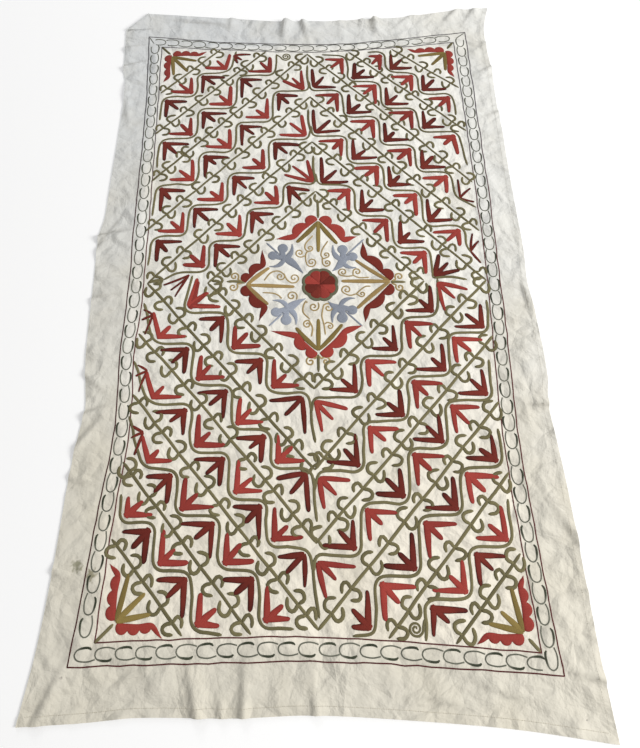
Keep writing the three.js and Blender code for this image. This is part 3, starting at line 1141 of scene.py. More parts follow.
STEMS: dict[Quarter, tuple[Stem, ...]] = {
    Quarter.TOP_LEFT: (
        Stem((22, 283), (-262, -2), (-62, -135, -205)),
        Stem((15, 455), (-420, -3), (-50, -127, -197, -272, -352), sag=-5),
        Stem((12, 625), (-440, 157), (-63, -135, -207, -288, -365), lone_upper=-416),
        Stem((3, 795), (-440, 320), (-57, -125, -193, -262, -328, -378), lone_upper=-417),
        Stem((-125, 810), (-445, 487), (-165, -224, -300, -378), lone_upper=-423),
        Stem((-268, 820), (-442, 645), (-300, -370), lone_upper=-425),
    ),
    Quarter.TOP_RIGHT: (
        Stem((23, 283), (297, 5), (83, 160, 232)),
        Stem((15, 455), (457, 5), (97, 170, 252, 332, 390), sag=-3),
        Stem((10, 624), (457, 153), (83, 162, 243, 317, 390), lone_upper=434),
        Stem((3, 797), (457, 310), (82, 150, 218, 288, 362, 430), sag=-4),
        Stem((133, 802), (460, 490), (198, 268, 337, 400), lone_upper=438, lone_lower=150),
        Stem((267, 812), (457, 653), (335, 410), lone_lower=285),
    ),
    Quarter.BOTTOM_LEFT: (
        Stem((-262, -2), (12, -288), (-212, -142, -65)),
        Stem((-420, -3), (10, -479), (-352, -285, -215, -142, -75, -17), sag=-1),
        Stem((-428, -145), (12, -637), (-360, -282, -207, -125, -62), lone_lower=-408, sag=-6),
        Stem((-427, -303), (13, -805), (-388, -325, -255, -183, -113, -50)),
        Stem((-432, -465), (-127, -815), (-385, -325, -260, -190), lone_upper=-146, lone_lower=-415),
        Stem((-438, -633), (-270, -820), (-405, -340), lone_upper=-291),
    ),
    Quarter.BOTTOM_RIGHT: (
        Stem((298, 3), (10, -288), (233, 153, 75)),
        Stem((457, 5), (10, -479), (380, 302, 217, 137, 63), sag=-8),
        Stem((453, -150), (10, -637), (380, 305, 232, 165, 95, 37), lone_lower=432),
        Stem((445, -318), (12, -805), (372, 302, 227, 145, 62), lone_lower=422, sag=3),
        Stem((446, -482), (157, -818), (370, 287, 222), lone_upper=175, lone_lower=423),
        Stem((447, -653), (293, -826), (387, 328), lone_lower=430),
    ),
}


# A hooked pair on a stem that rises to the right, from the place where it leaves the stem.
HOOKS: dict[Node, tuple[tuple[Point, ...], ...]] = {
    Node.UPPER: (
        ((0, 0), (-7, 11), (-14, 12), (-19, 4), (-17, -8)),
        ((0, 0), (13, -2), (20, -10), (14, -20), (-2, -22)),
    ),
    Node.LOWER: (
        ((0, 0), (-11, 6), (-13, 16), (-5, 24), (9, 25)),
        ((0, 0), (7, -12), (16, -14), (23, -4), (21, 11)),
    ),
}


@dataclass
class Lattice:
    """The olive lattice: stepped waves, slanting stems, and hooked pairs in the form of clovers."""

    cloth: ClothForm
    wave_width: float = 7.8
    stem_width: float = 8.1
    hook_width: float = 9.4
    spiral_width: float = 5.4
    spiral_radius: float = 16
    spiral_turns: float = 2.1
    # How much narrower the waves, the stems and the hooks are in the far half.
    far_wave: float = 1.0
    far_stem: float = 1.2
    far_hook: float = 1.0
    corner_radius: float = 30.0
    node_gap: Point = (21.5, 23)
    # How far the waves and the stems stray to their sides, and how far apart the turns of it are.
    wave_sway: Point = (2.4, 30)
    stem_sway: Point = (1.5, 45)
    # The hooks' range of sizes, how much larger they are in the near half, and how far their ends stray.
    hook_scale: Point = (0.95, 1.07)
    near_growth: float = 0.07
    hook_stray: float = 1.3
    seed: int = 23
    # The hooked pairs beside the points where the stems of two quarters meet.
    point_hooks: tuple[tuple[Node, bool, tuple[Point, ...]], ...] = (
        (Node.LOWER, True, ((-12, 250), (-8, 428), (-21, 592), (-18, 771), (279, -15), (439, -15))),
        (Node.LOWER, False, ((43, 262), (43, 424), (37, 600), (38, 760), (-242, -24), (-400, -25))),
        (Node.UPPER, True, ((33, -264), (30, -453), (-245, 18), (-403, 17))),
        (Node.UPPER, False, ((-13, -262), (-20, -602), (-12, -779), (282, 30), (442, 30))),
    )
    # The short lines that join one row to the next along the middle of each side.
    links: tuple[tuple[Point, ...], ...] = (
        ((18, 405), (17, 360), (24, 315)), ((5, 575), (5, 530), (13, 488)), ((4, 750), (3, 705), (9, 660)),
        ((3, -325), (4, -370), (12, -417)), ((8, -497), (8, -545), (13, -592)),
        ((2, -670), (6, -725), (15, -783)), ((322, 12), (367, 15), (408, 7)),
        ((28, 196), (28, 225), (27, 255)), ((22, -200), (22, -222), (22, -245)),
        ((-165, -2), (-190, 3), (-212, 2)), ((212, 0), (230, 1), (250, 0)),
        ((-378, 8), (-400, 6), (-418, -2)),
    )
    spirals: tuple[tuple[Point, Point, int], ...] = (
        ((-62, 787), (-92, 797), 1),
        ((213, -800), (232, -782), -1),
    )

    def hooked_pair(self, work: Worked, place: Array, kind: Node, rises_right: bool) -> None:
        """Works the two hooks that leave a stem at one place.

        Args:
            work: The stitching that takes it.
            place: The place on the stem.
            kind: Which end of a clover it is.
            rises_right: Whether the stem rises to the right.
        """
        rng = work.rng
        flip = 1 if rises_right else -1
        for hook in HOOKS[kind]:
            scale = rng.uniform(*self.hook_scale) + (self.near_growth if place[1] < 0 else 0)
            points = [(place[0] + flip * x * scale, place[1] + y * scale) for x, y in hook]
            by = self.hook_stray
            points[2:] = [(x + rng.uniform(-by, by), y + rng.uniform(-by, by)) for x, y in points[2:]]
            width = self.hook_width - (self.far_hook if place[1] > 0 else 0)
            work.line(smooth_path(points, 5.5), width)

    def clover(self, work: Worked, place: Array, rises_right: bool) -> None:
        """Works the hooked pairs above and below the middle of a clover.

        Args:
            work: The stitching that takes it.
            place: The clover's middle.
            rises_right: Whether the stem rises to the right.
        """
        across = self.node_gap[0] if rises_right else -self.node_gap[0]
        gap = np.array([across, self.node_gap[1]])
        self.hooked_pair(work, place + gap, Node.UPPER, rises_right)
        self.hooked_pair(work, place - gap, Node.LOWER, rises_right)

    def build(self) -> list[Object]:
        """Works the waves, the stems and the hooks.

        Returns:
            The three pieces.
        """
        rng = Random(self.seed)
        waves = Worked(self.cloth, rng, "lattice_waves", "olive_thread", OLIVE)
        stems = Worked(self.cloth, rng, "lattice_stems", "olive_thread", OLIVE, crown=1.0 * MM)
        hooks = Worked(self.cloth, rng, "lattice_hooks", "olive_thread", OLIVE, crown=1.05 * MM)
        for quarter, rows in WAVES.items():
            for wave in rows:
                corners = [*wave.start, *wave.corners(quarter), *wave.end]
                path = by_hand(rounded_steps(corners, self.corner_radius, 6.5), rng, *self.wave_sway)
                width = self.wave_width - (self.far_wave if quarter.is_top else 0)
                waves.line(path, width)
        for link in self.links:
            waves.line(smooth_path(link, 8), self.stem_width)
        for centre, joins, turn in self.spirals:
            path = spiral(centre, self.spiral_radius, self.spiral_turns, joins, turn)
            waves.line(path, self.spiral_width)
        for quarter, rows in STEMS.items():
            for stem in rows:
                path = np.array([stem.at(x) for x in np.linspace(stem.start[0], stem.end[0], 60)])
                width = self.stem_width - (self.far_stem if quarter.is_top else 0)
                stems.line(by_hand(even_steps(path, 9), rng, *self.stem_sway), width)
                for x in stem.clovers:
                    self.clover(hooks, stem.at(x), quarter.rises_right)
                for x, kind in ((stem.lone_upper, Node.UPPER), (stem.lone_lower, Node.LOWER)):
                    if x is not None:
                        self.hooked_pair(hooks, stem.at(x), kind, quarter.rises_right)
        for kind, rises_right, places in self.point_hooks:
            for place in places:
                self.hooked_pair(hooks, np.array(place, float), kind, rises_right)
        return [waves.build(), stems.build(), hooks.build()]


def spiral(
    centre: Point, radius: float, turns: float, joins: Point, turn: int, step: float = 4.5
) -> Array:
    """A line that curls in to a centre.

    Args:
        centre: The middle of the curl.
        radius: Its reach.
        turns: How often it goes round.
        joins: Where the line comes from.
        turn: 1 to curl anticlockwise, -1 clockwise.
        step: How far apart the places are.

    Returns:
        The places along the line, from where it joins.
    """
    start = math.atan2(joins[1] - centre[1], joins[0] - centre[0]) + turn * 0.5
    points = [np.array(joins, float)]
    for u in np.linspace(0, 1, int(turns * 14)):
        reach = radius * (1 - 0.86 * u)
        points.append(np.array(centre) + reach * headings(start + turn * math.tau * turns * u))
    return even_steps(np.array(points), step)


@dataclass(frozen=True)
class Sprig:
    """Three leaves from one apex, by their ends on the chart."""

    apex: Point
    ends: tuple[Point, ...]
    light: bool
    width: float = 14.0


@dataclass
class Sprigs:
    """The red sprigs: one in each corner of the waves, and those along the middle lines and the border."""

    cloth: ClothForm
    inset: float = 10.6
    leaf_width: float = 14.5
    middle_width: float = 15.0
    leaf_length: Point = (64, 80)
    middle_length: Point = (50, 62)
    shortest: float = 42
    # The longest that a leaf is beside a wave's run, as a share of that run.
    run_share: float = 0.76
    # How far a run may lean and still make a corner with the one before it.
    most_lean: float = 25
    seed: int = 37
    placed: tuple[Sprig, ...] = (
        # Beside the upright line above the medallion, from the top down.
        Sprig((-8, 653), ((-15, 730), (-72, 690), (-43, 700)), True),
        Sprig((-3, 478), ((-15, 555), (-80, 482), (-50, 525)), True),
        Sprig((15, 315), ((0, 390), (-65, 340), (-42, 370)), True),
        Sprig((22, 662), ((18, 735), (90, 660), (53, 703)), False),
        Sprig((25, 488), ((20, 575), (98, 495), (70, 535)), False),
        Sprig((40, 313), ((40, 400), (115, 315), (83, 355)), False),
        # Beside the line below it.
        Sprig((13, -318), ((90, -337), (28, -392), (55, -363)), True),
        Sprig((20, -497), ((90, -502), (30, -565), (58, -535)), True),
        Sprig((13, -675), ((95, -683), (30, -745), (52, -710)), True),
        Sprig((-18, -308), ((-97, -317), (-12, -397), (-60, -353)), False),
        Sprig((-10, -487), ((-78, -500), (-5, -572), (-47, -533)), False),
        Sprig((-15, -658), ((-73, -665), (-15, -725), (-55, -698)), False),
        # Beside the level line to its right and its left.
        Sprig((325, 18), ((343, 82), (393, 35), (365, 57)), False),
        Sprig((332, -2), ((407, -22), (343, -82), (372, -47)), True),
        Sprig((-312, 22), ((-378, -8), (-358, -23), (-345, -42)), False, 7),
        Sprig((-310, -67), ((-290, 12), (-225, -70), (-258, -30)), True),
        # Cut short by the border.
        Sprig((-397, -93), ((-423, -78), (-413, -147), (-425, -107)), False, 8),
        Sprig((-397, -243), ((-423, -228), (-413, -297), (-425, -257)), False, 8),
        Sprig((-392, -395), ((-420, -380), (-408, -449), (-420, -409)), False, 8),
        Sprig((427, 90), ((438, 145), (450, 55), (452, 122)), False, 8),
        Sprig((418, 258), ((418, 320), (455, 245), (450, 290)), False, 8),
        Sprig((-224, 796), ((-172, 798), (-212, 762), (-199, 776)), False, 12),
    )

    def in_corner(self, work: Worked, before: Point, corner: Point, after: Point) -> None:
        """Works the sprig in one corner of a wave.

        Args:
            work: The stitching that takes it.
            before: The wave's corner before this one.
            corner: The corner.
            after: The wave's corner after it.
        """
        rng = work.rng
        middle = np.array(corner, float)
        legs = [np.array(before, float) - middle, np.array(after, float) - middle]
        units = [leg / np.hypot(*leg) for leg in legs]
        turn = units[0][0] * units[1][1] - units[0][1] * units[1][0]
        apex = middle + self.inset * (units[0] + units[1])
        tone = rng.random()
        for k, (leg, unit) in enumerate(zip(legs, units)):
            inwards = units[1 - k]
            longest = max(self.shortest, self.run_share * np.hypot(*leg))
            length = min(rng.uniform(*self.leaf_length), longest)
            end = apex + unit * length + inwards * rng.uniform(1, 6)
            lean = 1.0 if (turn > 0) == (k == 0) else 0.0
            width = self.leaf_width * rng.uniform(0.9, 1.1)
            bow = rng.uniform(0.5, 2.5) * (-1 if lean else 1)
            work.leaf(apex, end, width, tone, bow, rng.uniform(0.6, 0.85), lean, 1.0, over=k * LAYER)
        slant = (units[0] + units[1]) / math.sqrt(2)
        stray = quarter_turn(slant) * rng.uniform(-5, 5)
        end = apex + slant * rng.uniform(*self.middle_length) + stray
        width = self.middle_width * rng.uniform(0.88, 1.1)
        work.leaf(apex + slant * 5, end, width, tone, 0, rng.uniform(0.7, 0.95), 0.5, 0.7, over=2 * LAYER)

    def build(self) -> list[Object]:
        """Works all the sprigs, in two reds.

        Returns:
            The light red and the maroon piece.
        """
        rng = Random(self.seed)
        light = Worked(self.cloth, rng, "sprigs_light_red", "red_thread", LIGHT_RED)
        dark = Worked(self.cloth, rng, "sprigs_maroon", "maroon_thread", MAROON)
        for quarter, rows in WAVES.items():
            for wave in rows:
                corners = wave.corners(quarter)
                path = [wave.start[-1], *corners, wave.end[0]]
                for before, corner, after in zip(path, path[1:], path[2:]):
                    if min(abs(after[0] - corner[0]), abs(after[1] - corner[1])) > self.most_lean:
                        continue
                    faces_in = (before[0] + after[0] - 2 * corner[0]) * quarter.value[0] < 0
                    is_light = (faces_in == quarter.inner_is_light) != wave.swapped
                    self.in_corner(light if is_light else dark, before, corner, after)
        for sprig in self.placed:
            work = light if sprig.light else dark
            tone = rng.random()
            for k, end in enumerate(sprig.ends):
                width = sprig.width * rng.uniform(0.9, 1.1)
                blunt = rng.uniform(0.55, 0.9)
                work.leaf(sprig.apex, end, width, tone, rng.uniform(-2, 2), blunt, over=k * LAYER)
        return [light.build(), dark.build()]


# A scalloped leaf's lobes by their number: each one's peak and the notch after it, as shares of the
# leaf's run from root to knee, and of its depth.
LOBES: dict[int, tuple[tuple[Point, Point], ...]] = {
    2: (((0.07, 1.0), (0.34, 0.6)), ((0.58, 1.14), (0.88, 0.58))),
    3: (((0.08, 0.95), (0.30, 0.66)), ((0.46, 1.0), (0.63, 0.62)), ((0.78, 0.86), (0.95, 0.5))),
}


def arc_through(start: Array, middle: Array, end: Array, step: float) -> Array:
    """The round arc from one place over a second to a third.

    Args:
        start: Where it starts.
        middle: A place on it.
        end: Where it ends.
        step: How far apart its places are.

    Returns:
        The places along it.
    """
    first, second = middle - start, end - start
    area = 2 * (first[0] * second[1] - first[1] * second[0])
    squares = np.array([first @ first, second @ second])
    centre = start + np.array(
        [second[1] * squares[0] - first[1] * squares[1], first[0] * squares[1] - second[0] * squares[0]]
    ) / area
    angles = [math.atan2(*(place - centre)[::-1]) for place in (start, end)]
    if area > 0 and angles[1] < angles[0]:
        angles[1] += math.tau
    if area < 0 and angles[1] > angles[0]:
        angles[1] -= math.tau
    reach = math.dist(start, centre)
    turn = np.linspace(angles[0], angles[1], max(4, int(reach * abs(angles[1] - angles[0]) / step)))
    return centre + reach * headings(turn)


@dataclass(frozen=True)
class Scallop:
    """A leaf with one plain side, from its root over a knee to its tip, and lobes along the other."""

    root: Point
    knee: Point
    tip: Point
    lobes: int
    depth: float
    light: bool

    def outline(self) -> Array:
        """The leaf's outline.

        Returns:
            Its points, anticlockwise, an even step apart.
        """
        root, knee, tip = (np.array(p, float) for p in (self.root, self.knee, self.tip))
        run = knee - root
        outward = quarter_turn(run) / np.hypot(*run)
        if (tip - knee) @ outward < 0:
            outward = -outward

        def spot(share: Point) -> Array:
            """The place at a share of the run and of the depth."""
            return root + run * share[0] + outward * self.depth * share[1]

        plain = smooth_path([root, root + run * 0.55 + outward * 1.5, knee, tip], 4)
        edge = [root[None, :]]
        for peak, notch in LOBES[self.lobes]:
            edge.append(arc_through(edge[-1][-1], spot(peak), spot(notch), 4)[1:])
        tail = (edge[-1][-1] + tip) / 2 + outward * 2
        edge.append(smooth_path([edge[-1][-1], tail, tip], 4)[1:])
        outline = np.vstack([plain[:-1], np.vstack(edge)[::-1][:-1]])
        nxt = np.roll(outline, -1, axis=0)
        area = np.sum(outline[:, 0] * nxt[:, 1] - nxt[:, 0] * outline[:, 1])
        return outline if area > 0 else outline[::-1]

    def work(self, work: Worked, tone: float) -> None:
        """Works the leaf.

        Args:
            work: The stitching that takes it.
            tone: Its tone, from 0 to 1.
        """
        outline = self.outline()
        run = np.array(self.knee) - np.array(self.root)
        away = np.hypot(*(outline - np.array(self.root)).T)
        work.pad(outline, math.atan2(run[1], run[0]), tone, tip=(away / away.max()) ** 3 * 0.5)


@dataclass(frozen=True)
class Curl:
    """A thin scroll: a tail drawn through a few points, then a spiral about a centre."""

    tail: tuple[Point, ...]
    centre: Point
    radius: float
    turn: int = 1

    def path(self) -> Array:
        """The scroll's line.

        Returns:
            The places along it.
        """
        last = self.tail[-1]
        curl = spiral(self.centre, self.radius, 1.35, last, self.turn, 3.2)
        if len(self.tail) < 2:
            return curl
        lead = smooth_path(self.tail, 5)
        return even_steps(np.vstack([lead[:-1], curl]), 3.6)


@dataclass(frozen=True)
class Blossom:
    """A blossom: its middle, the direction of its stalk in degrees, and the side of its longer leaf.

    The last three are the reach and the lean of the leaf that points to the rosette, and the stalk's length.
    """

    centre: Point
    degrees: float
    side: int
    reach: float
    lean: float
    stalk: float


@dataclass
class Medallion:
    """The medallion: four pairs of scalloped leaves, gold sprigs, blue blossoms, scrolls and a rosette."""

    cloth: ClothForm
    centre: Point = (30, -7)
    ring_radius: float = 42.5
    ring_width: float = 10.0
    lobe_depth: float = 5.0
    scroll_width: float = 4.4
    seed: int = 53
    leaves: tuple[Scallop, ...] = (
        Scallop((27, 189), (-40, 127), (-88, 129), 2, 27, True),
        Scallop((29, 189), (96, 118), (132, 137), 2, 27, True),
        Scallop((21, -195), (-32, -141), (-100, -136), 2, 26, True),
        Scallop((25, -195), (92, -127), (135, -121), 2, 26, True),
        Scallop((-163, -2), (-111, 52), (-122, 98), 2, 24, False),
        Scallop((-162, -8), (-104, -72), (-126, -111), 2, 25, False),
        Scallop((209, 3), (138, 78), (145, 121), 2, 25, False),
        Scallop((210, -3), (139, -75), (141, -114), 2, 23, False),
    )
    gold: tuple[Sprig, ...] = (
        Sprig((28, 184), ((-31, 119), (27, 89), (78, 114)), False, 14),
        Sprig((23, -188), ((-33, -128), (24, -104), (84, -118)), False, 13.5),
    )
    sand: tuple[Sprig, ...] = (
        Sprig((-160, -8), ((-102, 43), (-36, -13), (-103, -64)), False, 13),
        Sprig((210, 2), ((124, 65), (85, 3), (123, -75)), False, 13),
    )
    curls: tuple[Curl, ...] = (
        Curl(((13, 140), (-6, 116), (-8, 100), (-2, 92)), (5, 101), 9, 1),
        Curl(((1, 94), (-6, 84), (-6, 62), (0, 48), (12, 46)), (9, 59), 12, 1),
        Curl(((-7, 79), (-18, 74)), (-22, 87), 12, -1),
        Curl(((53, 123), (38, 98), (34, 80), (40, 69)), (48, 81), 9, 1),
        Curl(((37, 72), (38, 54), (46, 46)), (50, 57), 9, 1),
        Curl(((-115, 5), (-98, 28), (-78, 33), (-64, 24)), (-73, 17), 12, -1),
        Curl(((-64, 26), (-56, 8), (-44, -2)), (-37, 12), 14, 1),
        Curl(((-118, -30), (-98, -31), (-84, -34), (-72, -42)), (-70, -44), 3, 1),
        Curl(((-31, -50), (-30, -46)), (-43, -40), 14, 1),
        Curl(((158, 14), (132, 13), (116, 20)), (127, 30), 11, -1),
        Curl(((117, 19), (100, 17), (84, 20)), (90, 29), 12, -1),
        Curl(((160, -12), (146, -13), (130, -26), (122, -34)), (137, -34), 9, 1),
        Curl(((124, -33), (106, -38), (90, -31)), (98, -22), 13, -1),
        Curl(((6, -152), (9, -128), (0, -108)), (-4, -119), 11, 1),
        Curl(((2, -104), (-14, -86), (-13, -66), (-6, -53)), (-4, -56), 3, 1),
        Curl(((24, -58), (26, -64)), (13, -70), 13, -1),
        Curl(((41, -147), (38, -120), (33, -94), (38, -66)), (50, -73), 13, -1),
        Curl(((40, -118), (46, -113)), (53, -124), 9, -1),
    )
    outer_curls: tuple[Curl, ...] = (
        Curl(((-172, 3), (-184, 8)), (-193, 17), 12, 1),
        Curl(((-174, -4), (-186, -4)), (-195, -14), 12, -1),
        Curl(((20, -203), (14, -211)), (3, -218), 13, 1),
        Curl(((24, -203), (30, -211)), (41, -217), 12, -1),
        Curl(((214, 3), (226, 8)), (235, 16), 11, -1),
        Curl(((214, -3), (226, -8)), (235, -15), 11, 1),
    )
    blossoms: tuple[Blossom, ...] = (
        Blossom((-68, 72), 135, -1, 71, 6, 62),
        Blossom((92, 68), 45, 1, 46, -5, 82),
        Blossom((-58, -78), 225, 1, 58, 14, 62),
        Blossom((85, -72), 315, -1, 37, 13, 71),
    )

    def blossom(self, work: Worked, form: Blossom) -> None:
        """Works one blue blossom: two round petals about a stalk, and three pointed leaves.

        Args:
            work: The stitching that takes it.
            form: Its place, direction and reach.
        """
        turn = math.radians(form.degrees)
        out = headings(turn)
        aside = quarter_turn(out) * form.side
        middle = np.array(form.centre, float)
        tone = work.rng.random()

        def spot(outwards: float, sideways: float) -> Array:
            """The place at a distance out along the stalk and to the side."""
            return middle + out * outwards + aside * sideways

        circle = headings(np.linspace(0, math.tau, 20, endpoint=False))
        for outwards, sideways, radius in ((20, 21, 14.5), (23, -13, 13.5)):
            work.pad(spot(outwards, sideways) + circle * radius, turn, tone)
        bow = 11 * form.side
        # Each leaf's root, end, width, bend, bluntness and share of the width at its root.
        leaves = (
            (spot(-4, -1), spot(28, 24), 17, 0, 0.95, 0.9),
            (spot(-4, 1), spot(29, -15), 16, 0, 0.95, 0.9),
            (spot(12, 2), spot(-form.reach, form.lean), 24, 4, 0.1, 0.75),
            (spot(-3, -6), spot(12, 48), 16, bow, 0.2, 0.8),
            (spot(-3, 6), spot(6, -42), 14, -bow, 0.2, 0.8),
        )
        for layer, (root, end, width, bend, blunt, root_share) in enumerate(leaves, 2):
            work.leaf(root, end, width, tone, bend, blunt, root_share=root_share, over=layer * LAYER)
        work.line(even_steps(np.array([spot(14, 2), spot(form.stalk, 2)]), 6), 5.5, tone)

    def rosette_edge(self, angles: Array, reach: float) -> Array:
        """Places in some directions on an eight-lobed line about the rosette, by its mean reach."""
        lobed = reach + self.lobe_depth * (np.abs(np.sin(4 * angles)) ** 0.6 - 0.6)
        return np.array(self.centre) + headings(angles) * lobed[:, None]

    def rosette(self, light: Worked, dark: Worked, ring: Worked) -> None:
        """Works the rosette: eight petals in two reds within a scalloped ring.

        Args:
            light: The light red stitching.
            dark: The maroon stitching.
            ring: The stitching of the ring.
        """
        turn = np.linspace(0, math.tau, 65)[:-1]
        dark.pad(self.rosette_edge(turn, self.ring_radius), 0, 0.3, over=-10 * LAYER)
        petal = math.radians(45)
        for k in range(8):
            start = petal * k
            angles = np.linspace(start - 0.02, start + petal + 0.02, 9)
            rim = self.rosette_edge(angles, self.ring_radius)
            behind = np.array(self.centre) - 1.5 * headings(start + petal / 2)
            is_light = k in (2, 3, 6, 7)
            tip = np.concatenate([[0.95], np.full(9, 0.2)])
            tone = 0.25 + 0.5 * (k % 2) + ring.rng.uniform(-0.15, 0.15)
            thread = light if is_light else dark
            thread.pad(np.vstack([behind, rim]), start + petal / 2, tone, tip, over=4 * LAYER)
        turn = np.linspace(0, math.tau, 129)
        path = self.rosette_edge(turn, self.ring_radius)
        half = np.full(len(path), self.ring_width / 2)
        ring.ribbon(path, half, half, 0.5, tip=np.zeros(len(path)), over=5 * LAYER)

    def build(self) -> list[Object]:
        """Works the whole medallion.

        Returns:
            Its pieces, one for each thread.
        """
        rng = Random(self.seed)
        light = Worked(self.cloth, rng, "medallion_light_red", "red_thread", LIGHT_RED)
        dark = Worked(self.cloth, rng, "medallion_maroon", "maroon_thread", MAROON)
        gold = Worked(self.cloth, rng, "medallion_gold", "gold_thread", GOLD)
        sand = Worked(self.cloth, rng, "medallion_sand", "gold_thread", SAND)
        fine = Worked(self.cloth, rng, "medallion_scrolls", "gold_thread", FINE_GOLD, crown=0.9 * MM)
        blue = Worked(self.cloth, rng, "medallion_blossoms", "blue_thread", BLUE)
        ring = Worked(self.cloth, rng, "rosette_ring", "olive_thread", MOSS, crown=1.3 * MM)
        for leaf in self.leaves:
            leaf.work(light if leaf.light else dark, rng.uniform(0.3, 0.8))
        for work, sprigs in ((gold, self.gold), (sand, self.sand)):
            for sprig in sprigs:
                for k, end in enumerate(sprig.ends):
                    bend = (2.0, 0.0, -2.0)[k]
                    width = sprig.width * rng.uniform(0.9, 1.1)
                    over = (0, 2, 1)[k] * LAYER
                    work.leaf(sprig.apex, end, width, rng.random(), bend, 0.7, 0.5, 0.75, over=over)
        for curl in self.curls:
            fine.line(curl.path(), self.scroll_width)
        for curl in self.outer_curls:
            fine.line(curl.path(), self.scroll_width + 0.8)
        for form in self.blossoms:
            self.blossom(blue, form)
        self.rosette(light, dark, ring)
        return [work.build() for work in (light, dark, gold, sand, fine, blue, ring)]


@dataclass(frozen=True)
class CornerMotif:
    """The motif in one corner of the field: two scalloped leaves about a gold sprig, and a bar."""

    apex: Point
    gold_ends: tuple[Point, ...]
    upright: Point
    level: Point
    bar: tuple[Point, Point]


@dataclass
class CornerMotifs:
    """The four corner motifs."""

    cloth: ClothForm
    depth: float = 24
    gold_width: float = 13.5
    bar_width: float = 8.5
    seed: int = 71
    motifs: tuple[CornerMotif, ...] = (
        CornerMotif(
            (-410, -795), ((-393, -702), (-354, -740), (-338, -780)), (-437, -682), (-309, -827),
            ((-415, -800), (-450, -835)),
        ),
        CornerMotif(
            (431, -803), ((418, -720), (390, -765), (362, -788)), (447, -695), (333, -827),
            ((440, -815), (460, -838)),
        ),
        CornerMotif(
            (-418, 792), ((-340, 774), (-408, 716), (-365, 730)), (-438, 688), (-310, 812),
            ((-425, 803), (-453, 833)),
        ),
        CornerMotif(
            (429, 794), ((345, 783), (424, 722), (384, 745)), (448, 694), (313, 813),
            ((438, 812), (457, 837)),
        ),
    )

    def build(self) -> list[Object]:
        """Works the four corners.

        Returns:
            The red, the gold and the olive piece.
        """
        rng = Random(self.seed)
        red = Worked(self.cloth, rng, "corner_leaves_red", "red_thread", LIGHT_RED)
        gold = Worked(self.cloth, rng, "corner_sprigs_gold", "gold_thread", GOLD)
        bars = Worked(self.cloth, rng, "corner_bars", "olive_thread", OLIVE)
        for motif in self.motifs:
            x, y = motif.apex
            side, end = math.copysign(1, x), math.copysign(1, y)
            upright_knee = (x + side * 1, motif.upright[1] + end * 20)
            level_knee = (motif.level[0] + side * 22, y + end * 2)
            for root, knee, tip in (
                ((x + side * 1, y + (7 if end > 0 else 3)), upright_knee, motif.upright),
                ((x - side * 3, y + end * 2), level_knee, motif.level),
            ):
                Scallop(root, knee, tip, 3, self.depth, True).work(red, rng.uniform(0.3, 0.8))
            for goal in motif.gold_ends:
                gold.leaf(motif.apex, goal, self.gold_width, rng.random(), 0, 0.7, 0.5, 0.9)
            bars.line(even_steps(np.array(motif.bar, float), 6), self.bar_width)
        return [red.build(), gold.build(), bars.build()]


@dataclass(frozen=True)
class BorderSide:
    """One side of the border: its frame lines, where its chain's end links lie, and how many it has."""

    outer: tuple[Point, ...]
    inner: tuple[Point, ...]
    first: float
    last: float
    links: int
    upright: bool = False
    backwards: bool = False


